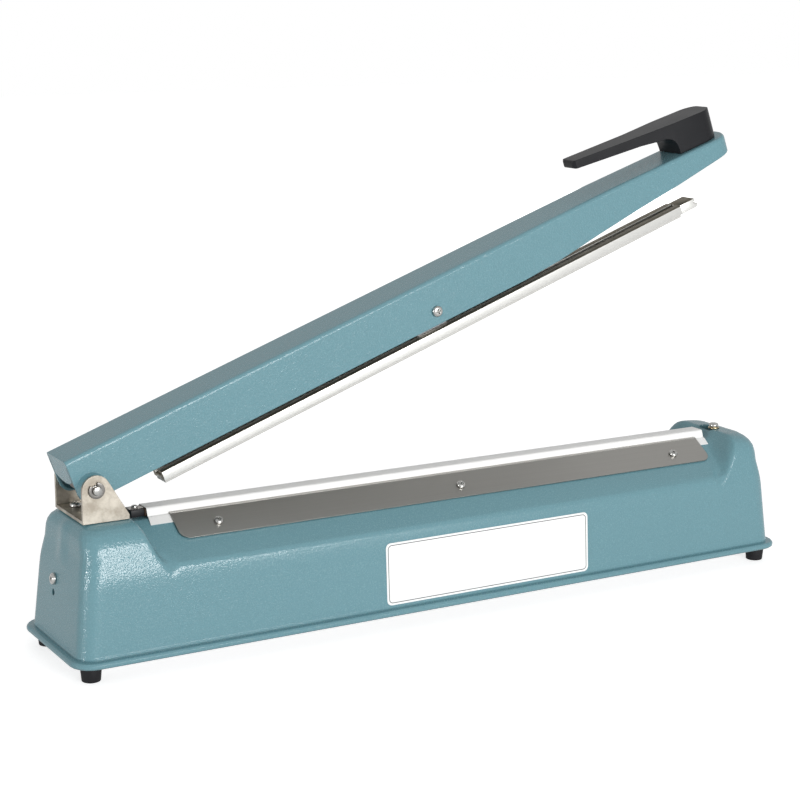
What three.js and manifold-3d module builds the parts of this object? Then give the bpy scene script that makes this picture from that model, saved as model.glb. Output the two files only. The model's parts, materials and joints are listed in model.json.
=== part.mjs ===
// Hand-operated impulse heat sealer of the 400 mm class, standing on four rubber feet.
// Millimetres, +Z up. X runs along the machine, from the hinge at -X to the handle at +X.
// The label is on the -Y side. The origin is on the table, under the middle of the base.
// The press arm is shown lifted, at the angle where its spring holds it.

import * as THREE from 'three';
import { mergeVertices } from 'three/addons/utils/BufferGeometryUtils.js';
import Module from 'manifold-3d';

const wasm = await Module();
wasm.setup();

// Clearances, how far a cutting shape runs past what it cuts, and when two corners are one
const seatGap = 0.3;
const layerGap = 0.15;
const screwPlay = 0.3;
const runningPlay = 0.3;
const cutOverrun = 6;
const weldDistance = 0.0005;

// Base: feet, lip and walls
const baseLength = 550;
const baseWidth = 105;
const footHeight = 10.2;
const footTopRadius = 6.9;
const footBottomRadius = 6;
const footEdge = 0.5;
const footRecessRadius = 4.1;
const footRecessDepth = 4;
const footInset = 13.7;
const lipHeight = 4;
const lipEdge = 1.1;
const lipCornerRadius = 15;
const lipReach = 4.7;
const grooveHeight = 1.2;
const beadHeight = 0.9;
const beadReach = 0.7;
const wallCornerRadius = 12;
const wallThickness = 2.5;
const housingTop = 94.6;
const endDraftShare = 0.1;
const sideDraftShare = 0.055;
const topEndRadius = 9;
const topSideRadius = 17;
const bossRadius = 5.6;
const bossHeight = 18;
const basePlateThickness = 1.5;

// The recess between the two raised ends, which the bag lies across
const slopeDrop = 22.2;
const shoulderRadius = 5;
const ridgeDrop = 5.4;
const ridgeHalfWidth = 9;
const ridgeRadius = 1.5;
const recessFromLeft = 60.8;
const recessFromRight = 46;
const recessFlare = 12.2;
const recessFlarePower = 3.5;

// Sealing surface: heat-proof strip, heating element and non-stick cloth
const clothFromLeft = 66.2;
const clothFromRight = 40.8;
const clothTrimLeft = 8;
const clothTrimRight = 6;
const clothThickness = 0.35;
const clothFlatHalfWidth = 6.2;
const clothFootHalfWidth = 6.7;
const clothLowerEdge = 16;
const clothRise = 5.8;
const insulatorHalfWidth = 5.6;
const elementThickness = 0.25;
const elementWidth = 5;
const terminalLength = 9;
const terminalWidth = 11;
const terminalFromLeft = 60.6;
const terminalFromRight = 47.6;

// Press plates beside the sealing surface
const plateFromLeft = 80.6;
const plateFromRight = 49.4;
const plateWidth = 23.1;
const plateThickness = 0.8;
const plateLipWidth = 1.7;
const plateLipAngle = THREE.MathUtils.degToRad(-24);
const plateTopGap = 2.05;
const plateCornerRadius = 7;
const plateScrewInset = 28.8;
const plateScrewUp = 10.3;

// Hinge at the left raised end
const pivotFromLeft = 26.3;
const pivotRise = 21.3;
const pinRadius = 3;
const pinGrooveRadius = 2.3;
const pinHalfLength = 28.2;
const pinDome = 0.9;
const bracketHalfWidth = 24.6;
const bracketThickness = 2;
const bracketReach = 21.3;
const earRadius = 9.2;
const earFootRise = 1;
const bracketScrewY = 13;
const clipRadius = 5.2;
const clipThickness = 0.9;
const clipMouthAngle = THREE.MathUtils.degToRad(56);
const clipTurnAngle = THREE.MathUtils.degToRad(112);
const armAngle = THREE.MathUtils.degToRad(19.8);

// Press arm, a pressed steel channel that is open below; U runs along it from the pivot, V stands on it
const armHalfWidth = 17;
const armThickness = 1.5;
const armBendRadius = 2.8;
const armTopV = 22.4;
const armBottomV = -8.6;
const armStartU = -9.8;
const armOverhang = 6.3;
const armNoseRadius = 13;
const armDroopFromNose = 110;
const armDroop = 2.2;
const armTaperFromNose = 195;
const armTaperRise = 17.2;
const taperShares = [[0, 0], [0.15, 0.08], [0.34, 0.31], [0.53, 0.51], [0.72, 0.66], [0.92, 0.89], [1, 1]];
const armHeelRadius = 8;
const flapBottomV = 4;
const flapCurve = 4;
const flapSlit = 0.8;
const flapSlitTopV = 18;
const pivotBossRadius = 10;
const pivotBossFaceRadius = 8.4;

// Press bar, hung from the middle of the arm on one screw
const barPivotOffset = 0.3;
const barPivotV = 0.7;
const barStartU = 47.6;
const barFromNose = 52;
const barTopV = -15.2;
const barBottomV = -21.6;
const barHalfWidth = 8.5;
const barChamfer = 0.6;
const barSlotHalfWidth = 2.8;
const barSlotDepth = 1.5;
const barCavityHalfWidth = 5.4;
const barCavityHeight = 2.3;
const barGrooveHalfWidth = 3.4;
const barGrooveDepth = 1.5;
const siliconeBottomV = -24;
const siliconeHalfWidth = 6.8;
const siliconeEndInset = 0.5;
const hangerHalfThickness = 2;
const hangerFootLength = 24;
const hangerEarRadius = 5;
const spacerRadius = 4.2;
const strikerHalfWidth = 7;
const strikerLength = 15.5;
const strikerBottomV = -22.4;
const strikerTongue = 12;
const strikerNotch = 3.4;
const strikerStep = 1.6;
const strikerDipShare = 0.8;
const strikerDropShare = 1.25;
const strikerToeShare = 0.6;

// Handle
const handleTipFromNose = 128;
const handleTipV = 49.9;
const handleTipThickness = 6;
const handleTipHalfWidth = 7.6;
const handleTipCorner = 2.2;
const handleMiddleFromNose = 72;
const handleMiddleV = 46;
const handleMiddleThickness = 7.3;
const handleMiddleHalfWidth = 10;
const handleNeckStartFromNose = 56;
const handleNeckV = 36.2;
const handleNeckFromNose = 43;
const handleHeelV = 42.4;
const handleHeelCorner = 3;
const handleHalfWidth = 12.5;
const handleEndFromNose = 5;
const handleScrewFromNose = 32;
const handleScrewPitch = 18;
const handleScrewLength = 14;

// Switch under the right raised end
const slotFromRight = 29;
const slotY = -0.5;
const slotLength = 18;
const slotWidth = 8.8;
const plungerY = -5.3;
const plungerRise = 4.1;
const plungerKnobRadius = 3.5;
const plungerKnobHeight = 2.4;
const plungerNeckRadius = 2.3;
const plungerNeckHeight = 0.6;
const plungerFlangeRadius = 4;
const plungerFlangeHeight = 0.9;
const plungerTravel = 2.2;
const stemRadius = 2;
const collarRadius = 3.6;
const collarHeight = 1.4;
const bushSink = 2.2;
const bushLength = 7.9;
const bushRadius = 5.3;
const bushFlangeHeight = 1.2;
const bushBarrelRadius = 3.9;
const switchSheet = 1.5;
const switchBracketWidth = 24;
const switchPlateDrop = 5.8;
const switchShelfDrop = 15.1;
const switchPlateLength = 12.4;
const switchLength = 27.8;
const switchThickness = 10.3;
const switchHeight = 15.9;
const switchButtonRadius = 1.5;
const switchButtonHeight = 1.2;
const switchPegRadius = 1.4;
const switchPegPitch = 22.2;
const switchPegUp = 4;

// Transformer
const transformerFromRight = 125;
const coreLength = 66;
const coreDepth = 36;
const coreHeight = 55;
const coreLimb = 11;
const coilWall = 8.6;
const coilGap = 0.5;

// Timer, lamp and mains inlet, on the rear wall
const timerFromRight = 215;
const timerZ = 42;
const potRadius = 8;
const potDepth = 9;
const potThreadRadius = 4;
const potShaftRadius = 3;
const potShaftLength = 4;
const boardLength = 74;
const boardHeight = 44;
const boardThickness = 1.6;
const relayLength = 19;
const relayWidth = 15;
const relayHeight = 14;
const capacitorRadius = 4;
const capacitorHeight = 11;
const knobRadius = 13.5;
const knobHeight = 5.2;
const knobEdge = 0.8;
const knobBoreDepth = 4.2;
const knobGrip = 3;
const knobGripHeight = 2.4;
const lampFromRight = 170;
const lampRadius = 4;
const lampFlangeRadius = 5.4;
const lampFlangeThickness = 1.2;
const lampDome = 2.4;
const lampDomeShares = [[0.85, 0.6], [0.5, 0.92], [0, 1]];
const lampBody = 9;
const glandFromLeft = 125;
const glandZ = 32;
const glandRadius = 6;
const glandFlangeRadius = 8.5;
const glandFlangeThickness = 2;
const glandNoseRadius = 5.4;
const glandNoseHeight = 5;
const glandBore = 3.6;
const glandInside = 5;

// Label on the front wall, and the earthing screw on the left end wall
const labelX = 23.2;
const labelZ = 38.2;
const labelLength = 161;
const labelHeight = 42;
const labelThickness = 0.4;
const labelCornerRadius = 3.4;
const earthScrewY = 7;
const earthScrewZ = 53.7;
const endHoleY = 7.6;
const endHoleZ = 44.8;
const endHoleRadius = 2.2;

// Springs
const hingeWire = 1.6;
const hingeCoilRadius = 5.4;
const hingeCoilPitch = 2.3;
const hingeTurns = 6;
const hingeArmLegU = 26;
const hingeBaseLegX = 12.7;
const plungerWire = 0.7;
const plungerCoilRadius = 3;
const plungerTurns = 6;

// Screws: radius and height of the head, radius of the shank
const smallScrew = { headRadius: 3.1, headHeight: 2, shankRadius: 1.7 };
const middleScrew = { headRadius: 3.8, headHeight: 2.4, shankRadius: 2 };
const plateScrewLength = 8;
const bracketScrewLength = 9;
const terminalScrew = { headRadius: 2.1, headHeight: 1.5, shankRadius: 1.1 };
const terminalScrewDown = 2.5;
const earthScrewLength = 10;
const terminalScrewLength = 5;
const nutAcross = 7;
const nutHeight = 3.2;

// Counts and angles of facets
const cornerSteps = 5;
const blendSteps = 6;
const roundSides = 20;
const smallSides = 14;
const quarterTurn = Math.PI / 2;

// Sizes that follow from the ones above
const baseBottom = footHeight + seatGap;
const lipTop = baseBottom + lipHeight;
const wallFoot = lipTop + grooveHeight + beadHeight;
const wallHalfLength = baseLength / 2 - lipReach;
const wallHalfWidth = baseWidth / 2 - lipReach;
const footX = baseLength / 2 - footInset;
const footY = baseWidth / 2 - footInset;
const basePlateTop = baseBottom + basePlateThickness;
const ridgeHeight = housingTop - ridgeDrop;
const shoulderHeight = ridgeHeight - slopeDrop;
const clothTop = ridgeHeight + clothRise;
const pivotZ = housingTop + pivotRise;
const plungerTop = housingTop + plungerRise;
const bushTop = housingTop - bushSink;
const bushBottom = bushTop - bushLength;
const switchPlateTop = bushTop - switchPlateDrop;
const switchShelfTop = switchPlateTop - switchShelfDrop;
const slopeShare = (ridgeHeight - shoulderHeight) / (sideWallY(shoulderHeight) - ridgeHalfWidth);
const slopeAngle = Math.atan(slopeShare);
const plateLowerY = clothFootHalfWidth + plateTopGap + plateWidth * Math.cos(slopeAngle);
const leftEnd = -baseLength / 2;
const rightEnd = baseLength / 2;
const recessLeft = leftEnd + recessFromLeft;
const recessRight = rightEnd - recessFromRight;
const clothLeft = leftEnd + clothFromLeft;
const clothRight = rightEnd - clothFromRight;
const leftTerminalX = leftEnd + terminalFromLeft;
const rightTerminalX = rightEnd - terminalFromRight;
const plateLength = baseLength - plateFromLeft - plateFromRight;
const plateCentre = (plateFromLeft - plateFromRight) / 2;
const plateScrewPitch = plateLength / 2 - plateScrewInset;
const pivotX = leftEnd + pivotFromLeft;
const bracketLeftX = pivotX - earRadius;
const bracketRightX = pivotX + bracketReach;
const armNoseU = rightEnd + armOverhang - pivotX;
const armDroopStartU = armNoseU - armDroopFromNose;
const armTaperStartU = armNoseU - armTaperFromNose;
const barEndU = armNoseU - barFromNose;
const barPivotU = (barStartU + barEndU) / 2 - barPivotOffset;
const handleTipU = armNoseU - handleTipFromNose;
const handleMiddleU = armNoseU - handleMiddleFromNose;
const handleNeckStartU = armNoseU - handleNeckStartFromNose;
const handleNeckU = armNoseU - handleNeckFromNose;
const handleEndU = armNoseU - handleEndFromNose;
const handleScrewFirstU = armNoseU - handleScrewFromNose;
const slotX = rightEnd - slotFromRight;
const transformerX = rightEnd - transformerFromRight;
const timerX = rightEnd - timerFromRight;
const lampX = rightEnd - lampFromRight;
const glandX = leftEnd + glandFromLeft;
const insulatorTop = clothTop - clothThickness - elementThickness - layerGap * 2;
const elementTop = insulatorTop + layerGap + elementThickness;
const sideDraftAngle = Math.atan(sideDraftShare);
const endDraftAngle = Math.atan(endDraftShare);

// Materials
const enamel = new THREE.MeshStandardMaterial({ color: 0x6b949b, roughness: 0.35, metalness: 0.1 });
const stainless = new THREE.MeshStandardMaterial({ color: 0x706d67, roughness: 0.4, metalness: 0.9 });
const nickel = new THREE.MeshStandardMaterial({ color: 0xc8beaf, roughness: 0.35, metalness: 0.9 });
const zincSteel = new THREE.MeshStandardMaterial({ color: 0xd6d8d8, roughness: 0.3, metalness: 0.95 });
const springSteel = new THREE.MeshStandardMaterial({ color: 0x5a5854, roughness: 0.4, metalness: 0.9 });
const anodised = new THREE.MeshStandardMaterial({ color: 0xa9957c, roughness: 0.45, metalness: 0.7 });
const silicone = new THREE.MeshStandardMaterial({ color: 0xc9c8c2, roughness: 0.7, metalness: 0 });
const blackPlastic = new THREE.MeshStandardMaterial({ color: 0x26272c, roughness: 0.45, metalness: 0 });
const rubber = new THREE.MeshStandardMaterial({ color: 0x141418, roughness: 0.8, metalness: 0 });
const nonStick = new THREE.MeshStandardMaterial({ color: 0xf0f1ed, roughness: 0.6, metalness: 0 });
const bakelite = new THREE.MeshStandardMaterial({ color: 0x3a2a20, roughness: 0.6, metalness: 0 });
const labelWhite = new THREE.MeshStandardMaterial({ color: 0xf4f5f4, roughness: 0.5, metalness: 0 });
const redLens = new THREE.MeshStandardMaterial({ color: 0xc01a12, roughness: 0.2, metalness: 0 });
const ironSheet = new THREE.MeshStandardMaterial({ color: 0x6d6f72, roughness: 0.5, metalness: 0.8 });
const coilTape = new THREE.MeshStandardMaterial({ color: 0xd8b23c, roughness: 0.6, metalness: 0 });
const circuitGreen = new THREE.MeshStandardMaterial({ color: 0x1f6b3c, roughness: 0.5, metalness: 0 });
const resistance = new THREE.MeshStandardMaterial({ color: 0x9a9790, roughness: 0.35, metalness: 0.9 });

const sealer = new THREE.Group();
const armGroup = new THREE.Group();
armGroup.position.set(pivotX, 0, pivotZ);
armGroup.rotation.y = -armAngle;
sealer.add(armGroup);

// Where the outer face of a side wall or an end wall is, at a height
function sideWallY(height) {
  return baseWidth / 2 - lipReach - (height - footHeight - seatGap - lipHeight) * sideDraftShare;
}

function endWallX(height) {
  return wallHalfLength - (height - lipTop) * endDraftShare;
}

// Mesh helpers

// The same surface with shared corners and without collapsed triangles, its faces pointing out
function weld(geometry) {
  const bare = geometry.clone();
  bare.deleteAttribute('normal');
  bare.deleteAttribute('uv');
  const merged = mergeVertices(bare, weldDistance);
  const corners = merged.index.array;
  const kept = [];
  for (let i = 0; i < corners.length; i += 3) {
    const [a, b, c] = [corners[i], corners[i + 1], corners[i + 2]];
    if (a !== b && b !== c && c !== a) kept.push(a, b, c);
  }
  if (enclosedVolume(merged.attributes.position, kept) < 0) kept.reverse();
  merged.setIndex(kept);
  return merged;
}

function enclosedVolume(position, corners) {
  const [a, b, c] = [new THREE.Vector3(), new THREE.Vector3(), new THREE.Vector3()];
  let volume = 0;
  for (let i = 0; i < corners.length; i += 3) {
    a.fromBufferAttribute(position, corners[i]);
    b.fromBufferAttribute(position, corners[i + 1]);
    c.fromBufferAttribute(position, corners[i + 2]);
    volume += a.dot(b.cross(c)) / 6;
  }
  return volume;
}

function solid(geometry) {
  const welded = weld(geometry);
  const vertProperties = new Float32Array(welded.attributes.position.array);
  const triVerts = new Uint32Array(welded.index.array);
  return new wasm.Manifold(new wasm.Mesh({ numProp: 3, vertProperties, triVerts }));
}

function surfaceOf(manifold) {
  const mesh = manifold.getMesh();
  const geometry = new THREE.BufferGeometry();
  geometry.setAttribute('position', new THREE.BufferAttribute(mesh.vertProperties, 3));
  geometry.setIndex(new THREE.BufferAttribute(mesh.triVerts, 1));
  return geometry;
}

function join(...geometries) {
  let whole = solid(geometries[0]);
  for (const geometry of geometries.slice(1)) whole = whole.add(solid(geometry));
  return surfaceOf(whole);
}

function cut(geometry, ...tools) {
  let rest = solid(geometry);
  for (const tool of tools) rest = rest.subtract(solid(tool));
  return surfaceOf(rest);
}

function common(first, second) {
  return surfaceOf(solid(first).intersect(solid(second)));
}

// Adds a named piece, placed in its group
function piece(name, geometry, material, group = sealer) {
  const mesh = new THREE.Mesh(weld(geometry), material);
  mesh.name = name;
  group.add(mesh);
  return mesh;
}

// Shape helpers

function box(x0, x1, y0, y1, z0, z1) {
  const geometry = new THREE.BoxGeometry(x1 - x0, y1 - y0, z1 - z0);
  return geometry.translate((x0 + x1) / 2, (y0 + y1) / 2, (z0 + z1) / 2);
}

function extruded(shape, depth) {
  return new THREE.ExtrudeGeometry(shape, { depth, bevelEnabled: false, curveSegments: cornerSteps });
}

// An outline in the XZ plane, extruded along Y from y0 to y1
function alongY(shape, y0, y1) {
  return extruded(shape, y1 - y0).rotateX(quarterTurn).translate(0, y1, 0);
}

// An outline in the YZ plane, extruded along X from x0 to x1
function alongX(shape, x0, x1) {
  return extruded(shape, x1 - x0).rotateX(quarterTurn).rotateZ(quarterTurn).translate(x0, 0, 0);
}

// An outline in the XY plane, extruded along Z from z0 to z1
function alongZ(shape, z0, z1) {
  return extruded(shape, z1 - z0).translate(0, 0, z0);
}

function rodZ(radius, z0, z1, sides = smallSides, topRadius = radius) {
  const geometry = new THREE.CylinderGeometry(topRadius, radius, z1 - z0, sides);
  return geometry.rotateX(quarterTurn).translate(0, 0, (z0 + z1) / 2);
}

function rodY(radius, y0, y1, sides = smallSides, farRadius = radius) {
  const geometry = new THREE.CylinderGeometry(farRadius, radius, y1 - y0, sides);
  return geometry.translate(0, (y0 + y1) / 2, 0);
}

// A turned piece about Z, from points of radius and height
function turned(points, sides = roundSides) {
  const profile = points.map(([radius, height]) => new THREE.Vector2(radius, height));
  return new THREE.LatheGeometry(profile, sides).rotateX(quarterTurn);
}

function polygon(points) {
  return new THREE.Shape(points.map(([x, y]) => new THREE.Vector2(x, y)));
}

function mirroredY(geometry) {
  return geometry.clone().scale(1, -1, 1);
}

// Points of the arc that rounds a corner between two straight edges
function roundedCorner(before, corner, after, radius, steps) {
  const toBefore = before.clone().sub(corner).normalize();
  const toAfter = after.clone().sub(corner).normalize();
  const halfAngle = Math.acos(THREE.MathUtils.clamp(toBefore.dot(toAfter), -1, 1)) / 2;
  const middle = toBefore.clone().add(toAfter).normalize();
  const centre = corner.clone().addScaledVector(middle, radius / Math.sin(halfAngle));
  const start = corner.clone().addScaledVector(toBefore, radius / Math.tan(halfAngle)).sub(centre);
  const end = corner.clone().addScaledVector(toAfter, radius / Math.tan(halfAngle)).sub(centre);
  const turn = Math.atan2(start.cross(end), start.dot(end));
  const points = [];
  for (let step = 0; step <= steps; step++) {
    points.push(start.clone().rotateAround(new THREE.Vector2(), turn * step / steps).add(centre));
  }
  return points;
}

// A closed solid through a row of rings with as many points each; flatten gives a ring's outline in 2-D
function loft(rings, flatten) {
  const count = rings[0].length;
  const positions = rings.flat().flatMap((point) => [point.x, point.y, point.z]);
  const index = [];
  for (let ring = 0; ring < rings.length - 1; ring++) {
    for (let i = 0; i < count; i++) {
      const a = ring * count + i;
      const b = ring * count + (i + 1) % count;
      index.push(a, b, b + count, a, b + count, a + count);
    }
  }
  addCap(index, rings[0].map(flatten), 0, true);
  addCap(index, rings[rings.length - 1].map(flatten), count * (rings.length - 1), false);
  const geometry = new THREE.BufferGeometry();
  geometry.setAttribute('position', new THREE.Float32BufferAttribute(positions, 3));
  geometry.setIndex(index);
  return geometry;
}

function addCap(index, outline, offset, atStart) {
  const forward = THREE.ShapeUtils.isClockWise(outline) === atStart;
  for (const [a, b, c] of THREE.ShapeUtils.triangulateShape(outline, [])) {
    if (forward) index.push(offset + a, offset + b, offset + c);
    else index.push(offset + c, offset + b, offset + a);
  }
}

// The four rounded corners of a rectangle, as one ring at a height
function rectangleRing(halfLength, halfWidth, radius, height) {
  const points = [];
  const corners = [[1, 1], [-1, 1], [-1, -1], [1, -1]];
  corners.forEach(([alongLength, alongWidth], quarter) => {
    for (let step = 0; step <= cornerSteps; step++) {
      const angle = (quarter + step / cornerSteps) * quarterTurn;
      const x = alongLength * (halfLength - radius) + radius * Math.cos(angle);
      const y = alongWidth * (halfWidth - radius) + radius * Math.sin(angle);
      points.push(new THREE.Vector3(x, y, height));
    }
  });
  return points;
}

// How far a rounded edge has drawn in at a depth below its top
function roundedInset(radius, depth) {
  if (depth >= radius) return 0;
  return radius - Math.sqrt(radius * radius - (radius - depth) * (radius - depth));
}

function roundedRectangle(halfLength, halfWidth, radius) {
  const shape = new THREE.Shape();
  shape.absarc(halfLength - radius, halfWidth - radius, radius, 0, quarterTurn);
  shape.absarc(radius - halfLength, halfWidth - radius, radius, quarterTurn, quarterTurn * 2);
  shape.absarc(radius - halfLength, radius - halfWidth, radius, quarterTurn * 2, quarterTurn * 3);
  shape.absarc(halfLength - radius, radius - halfWidth, radius, quarterTurn * 3, quarterTurn * 4);
  return shape;
}

// Fasteners

const headProfileShares = [[1, 0], [1, 0.35], [0.84, 0.74], [0.5, 1], [0, 1]];
const recessWidthShare = 0.24;
const recessLengthShare = 0.62;
const recessDepthShare = 0.55;

// A pan-head screw with a cross recess: its head stands on z = 0 and its shank hangs below
function crossScrew({ headRadius, headHeight, shankRadius }, shankLength) {
  const profile = [[0, -shankLength], [shankRadius, -shankLength], [shankRadius, 0]];
  for (const [radiusShare, heightShare] of headProfileShares) {
    profile.push([headRadius * radiusShare, headHeight * heightShare]);
  }
  const halfWidth = headRadius * recessWidthShare / 2;
  const halfLength = headRadius * recessLengthShare;
  const floor = headHeight * (1 - recessDepthShare);
  const top = headHeight + cutOverrun;
  const oneSlot = box(-halfLength, halfLength, -halfWidth, halfWidth, floor, top);
  const otherSlot = box(-halfWidth, halfWidth, -halfLength, halfLength, floor, top);
  return cut(turned(profile, smallSides), join(oneSlot, otherSlot));
}

// Sets what is built along +Z, from the wall's outer face at 0, on the rear wall
function onRearWall(geometry, x, z) {
  return geometry.rotateX(sideDraftAngle - quarterTurn).translate(x, sideWallY(z), z);
}

// Housing: one casting with a lip round its foot, two raised ends and a ridge between two slopes

function housingBlock(wall) {
  const halfLength = wallHalfLength - wall;
  const halfWidth = wallHalfWidth - wall;
  const radius = wallCornerRadius - wall;
  const top = housingTop - wall;
  const rings = [];
  if (wall > 0) {
    rings.push(rectangleRing(halfLength, halfWidth, radius, baseBottom - cutOverrun));
    rings.push(rectangleRing(halfLength, halfWidth, radius, lipTop));
  } else {
    const lip = (inset, height) => {
      const [lengthHere, widthHere] = [baseLength / 2 - inset, baseWidth / 2 - inset];
      rings.push(rectangleRing(lengthHere, widthHere, lipCornerRadius - inset, height));
    };
    lip(lipEdge, baseBottom);
    lip(0, baseBottom + lipEdge);
    lip(0, lipTop - lipEdge);
    lip(lipEdge, lipTop);
    rings.push(rectangleRing(halfLength, halfWidth, radius, lipTop + seatGap));
    const [beadLength, beadWidth] = [halfLength + beadReach, halfWidth + beadReach];
    rings.push(rectangleRing(beadLength, beadWidth, radius + beadReach, lipTop + grooveHeight));
    rings.push(rectangleRing(halfLength, halfWidth, radius, wallFoot));
  }
  const roundStart = Math.max(topEndRadius, topSideRadius);
  const turnSteps = cornerSteps + 2;
  for (let step = 0; step <= turnSteps; step++) {
    const depth = roundStart * (1 - Math.sin(quarterTurn * step / turnSteps));
    const height = top - depth;
    const lengthHere = endWallX(height) - wall - roundedInset(topEndRadius, depth);
    const widthHere = sideWallY(height) - wall - roundedInset(topSideRadius, depth);
    rings.push(rectangleRing(lengthHere, widthHere, Math.min(radius, widthHere / 2), height));
  }
  return loft(rings, (point) => new THREE.Vector2(point.x, point.y));
}

// What is cut from the block between the raised ends; drop sinks it for the inner side of the wall
function recessTool(drop) {
  const sink = drop / Math.cos(slopeAngle);
  const high = housingTop + cutOverrun;
  const shoulder = new THREE.Vector2(drop - sideWallY(shoulderHeight), shoulderHeight - sink);
  const foot = new THREE.Vector2(drop - sideWallY(0), 0);
  const ridge = new THREE.Vector2(drop * Math.tan(slopeAngle / 2) - ridgeHalfWidth, ridgeHeight - drop);
  const middle = new THREE.Vector2(0, ridgeHeight - drop);
  const half = [
    ...roundedCorner(foot, shoulder, ridge, shoulderRadius, cornerSteps),
    ...roundedCorner(shoulder, ridge, middle, ridgeRadius, 2),
  ];
  const outside = baseWidth;
  const points = [[-outside, high], [-outside, half[0].y]];
  for (const point of half) points.push([point.x, point.y]);
  for (const point of half.slice().reverse()) points.push([-point.x, point.y]);
  points.push([outside, half[0].y], [outside, high]);
  const slopes = alongX(polygon(points), -baseLength / 2, baseLength / 2);

  const low = shoulderHeight - cutOverrun * 2;
  const left = [];
  const right = [];
  for (let step = 0; step <= blendSteps; step++) {
    const share = Math.sqrt(step / blendSteps);
    const height = THREE.MathUtils.lerp(shoulderHeight, housingTop, share);
    const reach = recessFlare * share ** recessFlarePower + drop;
    left.push([recessLeft - reach, height - drop]);
    right.push([recessRight + reach, height - drop]);
  }
  const leftTop = left[blendSteps][0];
  const rightTop = right[blendSteps][0];
  const rightSide = [...right].reverse();
  const leftEdge = [[left[0][0], low], ...left, [leftTop, high]];
  const outline = [...leftEdge, [rightTop, high], ...rightSide, [right[0][0], low]];
  return common(slopes, alongY(polygon(outline), -outside, outside));
}

// A place on a press plate's slope: up is measured along the slope from the plate's lower edge
function slopePoint(up, out) {
  const lowerZ = ridgeHeight - (plateLowerY - ridgeHalfWidth) * slopeShare;
  const y = -plateLowerY + up * Math.cos(slopeAngle) - out * Math.sin(slopeAngle);
  const z = lowerZ + up * Math.sin(slopeAngle) + out * Math.cos(slopeAngle);
  return [y, z];
}

const plateScrewX = [-plateScrewPitch, 0, plateScrewPitch].map((offset) => plateCentre + offset);

function makeHousing() {
  const outer = solid(housingBlock(0)).subtract(solid(recessTool(0)));
  const inner = solid(housingBlock(wallThickness)).subtract(solid(recessTool(wallThickness)));
  let shell = outer.subtract(inner);
  for (const x of [-footX, footX]) {
    for (const y of [-footY, footY]) {
      const start = basePlateTop + seatGap;
      const boss = solid(rodZ(bossRadius, start, start + bossHeight, roundSides).translate(x, y, 0));
      shell = shell.add(boss.intersect(solid(housingBlock(wallThickness / 2))));
      const bore = rodZ(middleScrew.shankRadius + screwPlay, baseBottom, start + bossHeight - wallThickness);
      shell = shell.subtract(solid(bore.translate(x, y, 0)));
    }
  }
  const tools = [];
  const screwHole = smallScrew.shankRadius + screwPlay;
  for (const x of plateScrewX) {
    const [y, z] = slopePoint(plateScrewUp, 0);
    const hole = rodZ(screwHole, -cutOverrun, cutOverrun).rotateX(slopeAngle).translate(x, y, z);
    tools.push(hole, mirroredY(hole));
  }
  for (const y of [-bracketScrewY, bracketScrewY]) {
    tools.push(rodZ(middleScrew.shankRadius + screwPlay, housingTop - cutOverrun, housingTop + cutOverrun)
      .translate(pivotX, y, 0));
  }
  const terminalHole = terminalScrew.shankRadius + screwPlay;
  const terminalDrill = rodZ(terminalHole, ridgeHeight - cutOverrun, ridgeHeight + cutOverrun);
  tools.push(terminalDrill.translate(leftTerminalX, 0, 0));
  const slot = roundedRectangle(slotWidth / 2, slotLength / 2, slotWidth / 2);
  tools.push(alongZ(slot, housingTop - cutOverrun, housingTop + cutOverrun).translate(slotX, slotY, 0));
  const endWall = (radius, y, z) => rodZ(radius, -cutOverrun, cutOverrun)
    .rotateY(endDraftAngle - quarterTurn).translate(-endWallX(z), y, z);
  tools.push(endWall(middleScrew.shankRadius + screwPlay, earthScrewY, earthScrewZ));
  tools.push(endWall(endHoleRadius, endHoleY, endHoleZ));
  const rearWall = (radius, x, z) => onRearWall(rodZ(radius, -cutOverrun, cutOverrun, roundSides), x, z);
  tools.push(rearWall(potThreadRadius + screwPlay, timerX, timerZ));
  tools.push(rearWall(lampRadius + screwPlay, lampX, timerZ));
  tools.push(rearWall(glandRadius + screwPlay, glandX, glandZ));
  for (const tool of tools) shell = shell.subtract(solid(tool));
  piece('housing', surfaceOf(shell), enamel);
}

// Base plate, feet and their screws

function makeBase() {
  const plateHalfLength = wallHalfLength - wallThickness - seatGap * 2;
  const plateHalfWidth = wallHalfWidth - wallThickness - seatGap * 2;
  const outline = roundedRectangle(plateHalfLength, plateHalfWidth, wallCornerRadius - wallThickness);
  let basePlate = alongZ(outline, baseBottom, basePlateTop);
  const places = [
    ['front_left', -footX, -footY],
    ['front_right', footX, -footY],
    ['rear_left', -footX, footY],
    ['rear_right', footX, footY],
  ];
  const hole = middleScrew.shankRadius + screwPlay;
  const recessTop = footRecessDepth;
  for (const [place, x, y] of places) {
    const drill = rodZ(hole, baseBottom - cutOverrun, basePlateTop + cutOverrun);
    basePlate = cut(basePlate, drill.translate(x, y, 0));
    const foot = turned([
      [footRecessRadius, 0], [footBottomRadius - footEdge, 0], [footBottomRadius, footEdge],
      [footTopRadius, footHeight], [hole, footHeight], [hole, recessTop], [footRecessRadius, recessTop],
      [footRecessRadius, 0],
    ]);
    piece(`foot_${place}`, foot.translate(x, y, 0), rubber);
    const length = basePlateTop + seatGap + bossHeight - wallThickness - screwPlay * 2 - recessTop;
    const screw = crossScrew(middleScrew, length).rotateX(quarterTurn * 2);
    piece(`foot_screw_${place}`, screw.translate(x, y, recessTop - seatGap), zincSteel);
  }
  piece('base_plate', basePlate, ironSheet);
}

// Sealing surface

const insulatorStart = leftTerminalX + terminalLength / 2 + seatGap;
const insulatorEnd = rightTerminalX - terminalLength / 2 - seatGap;

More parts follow.
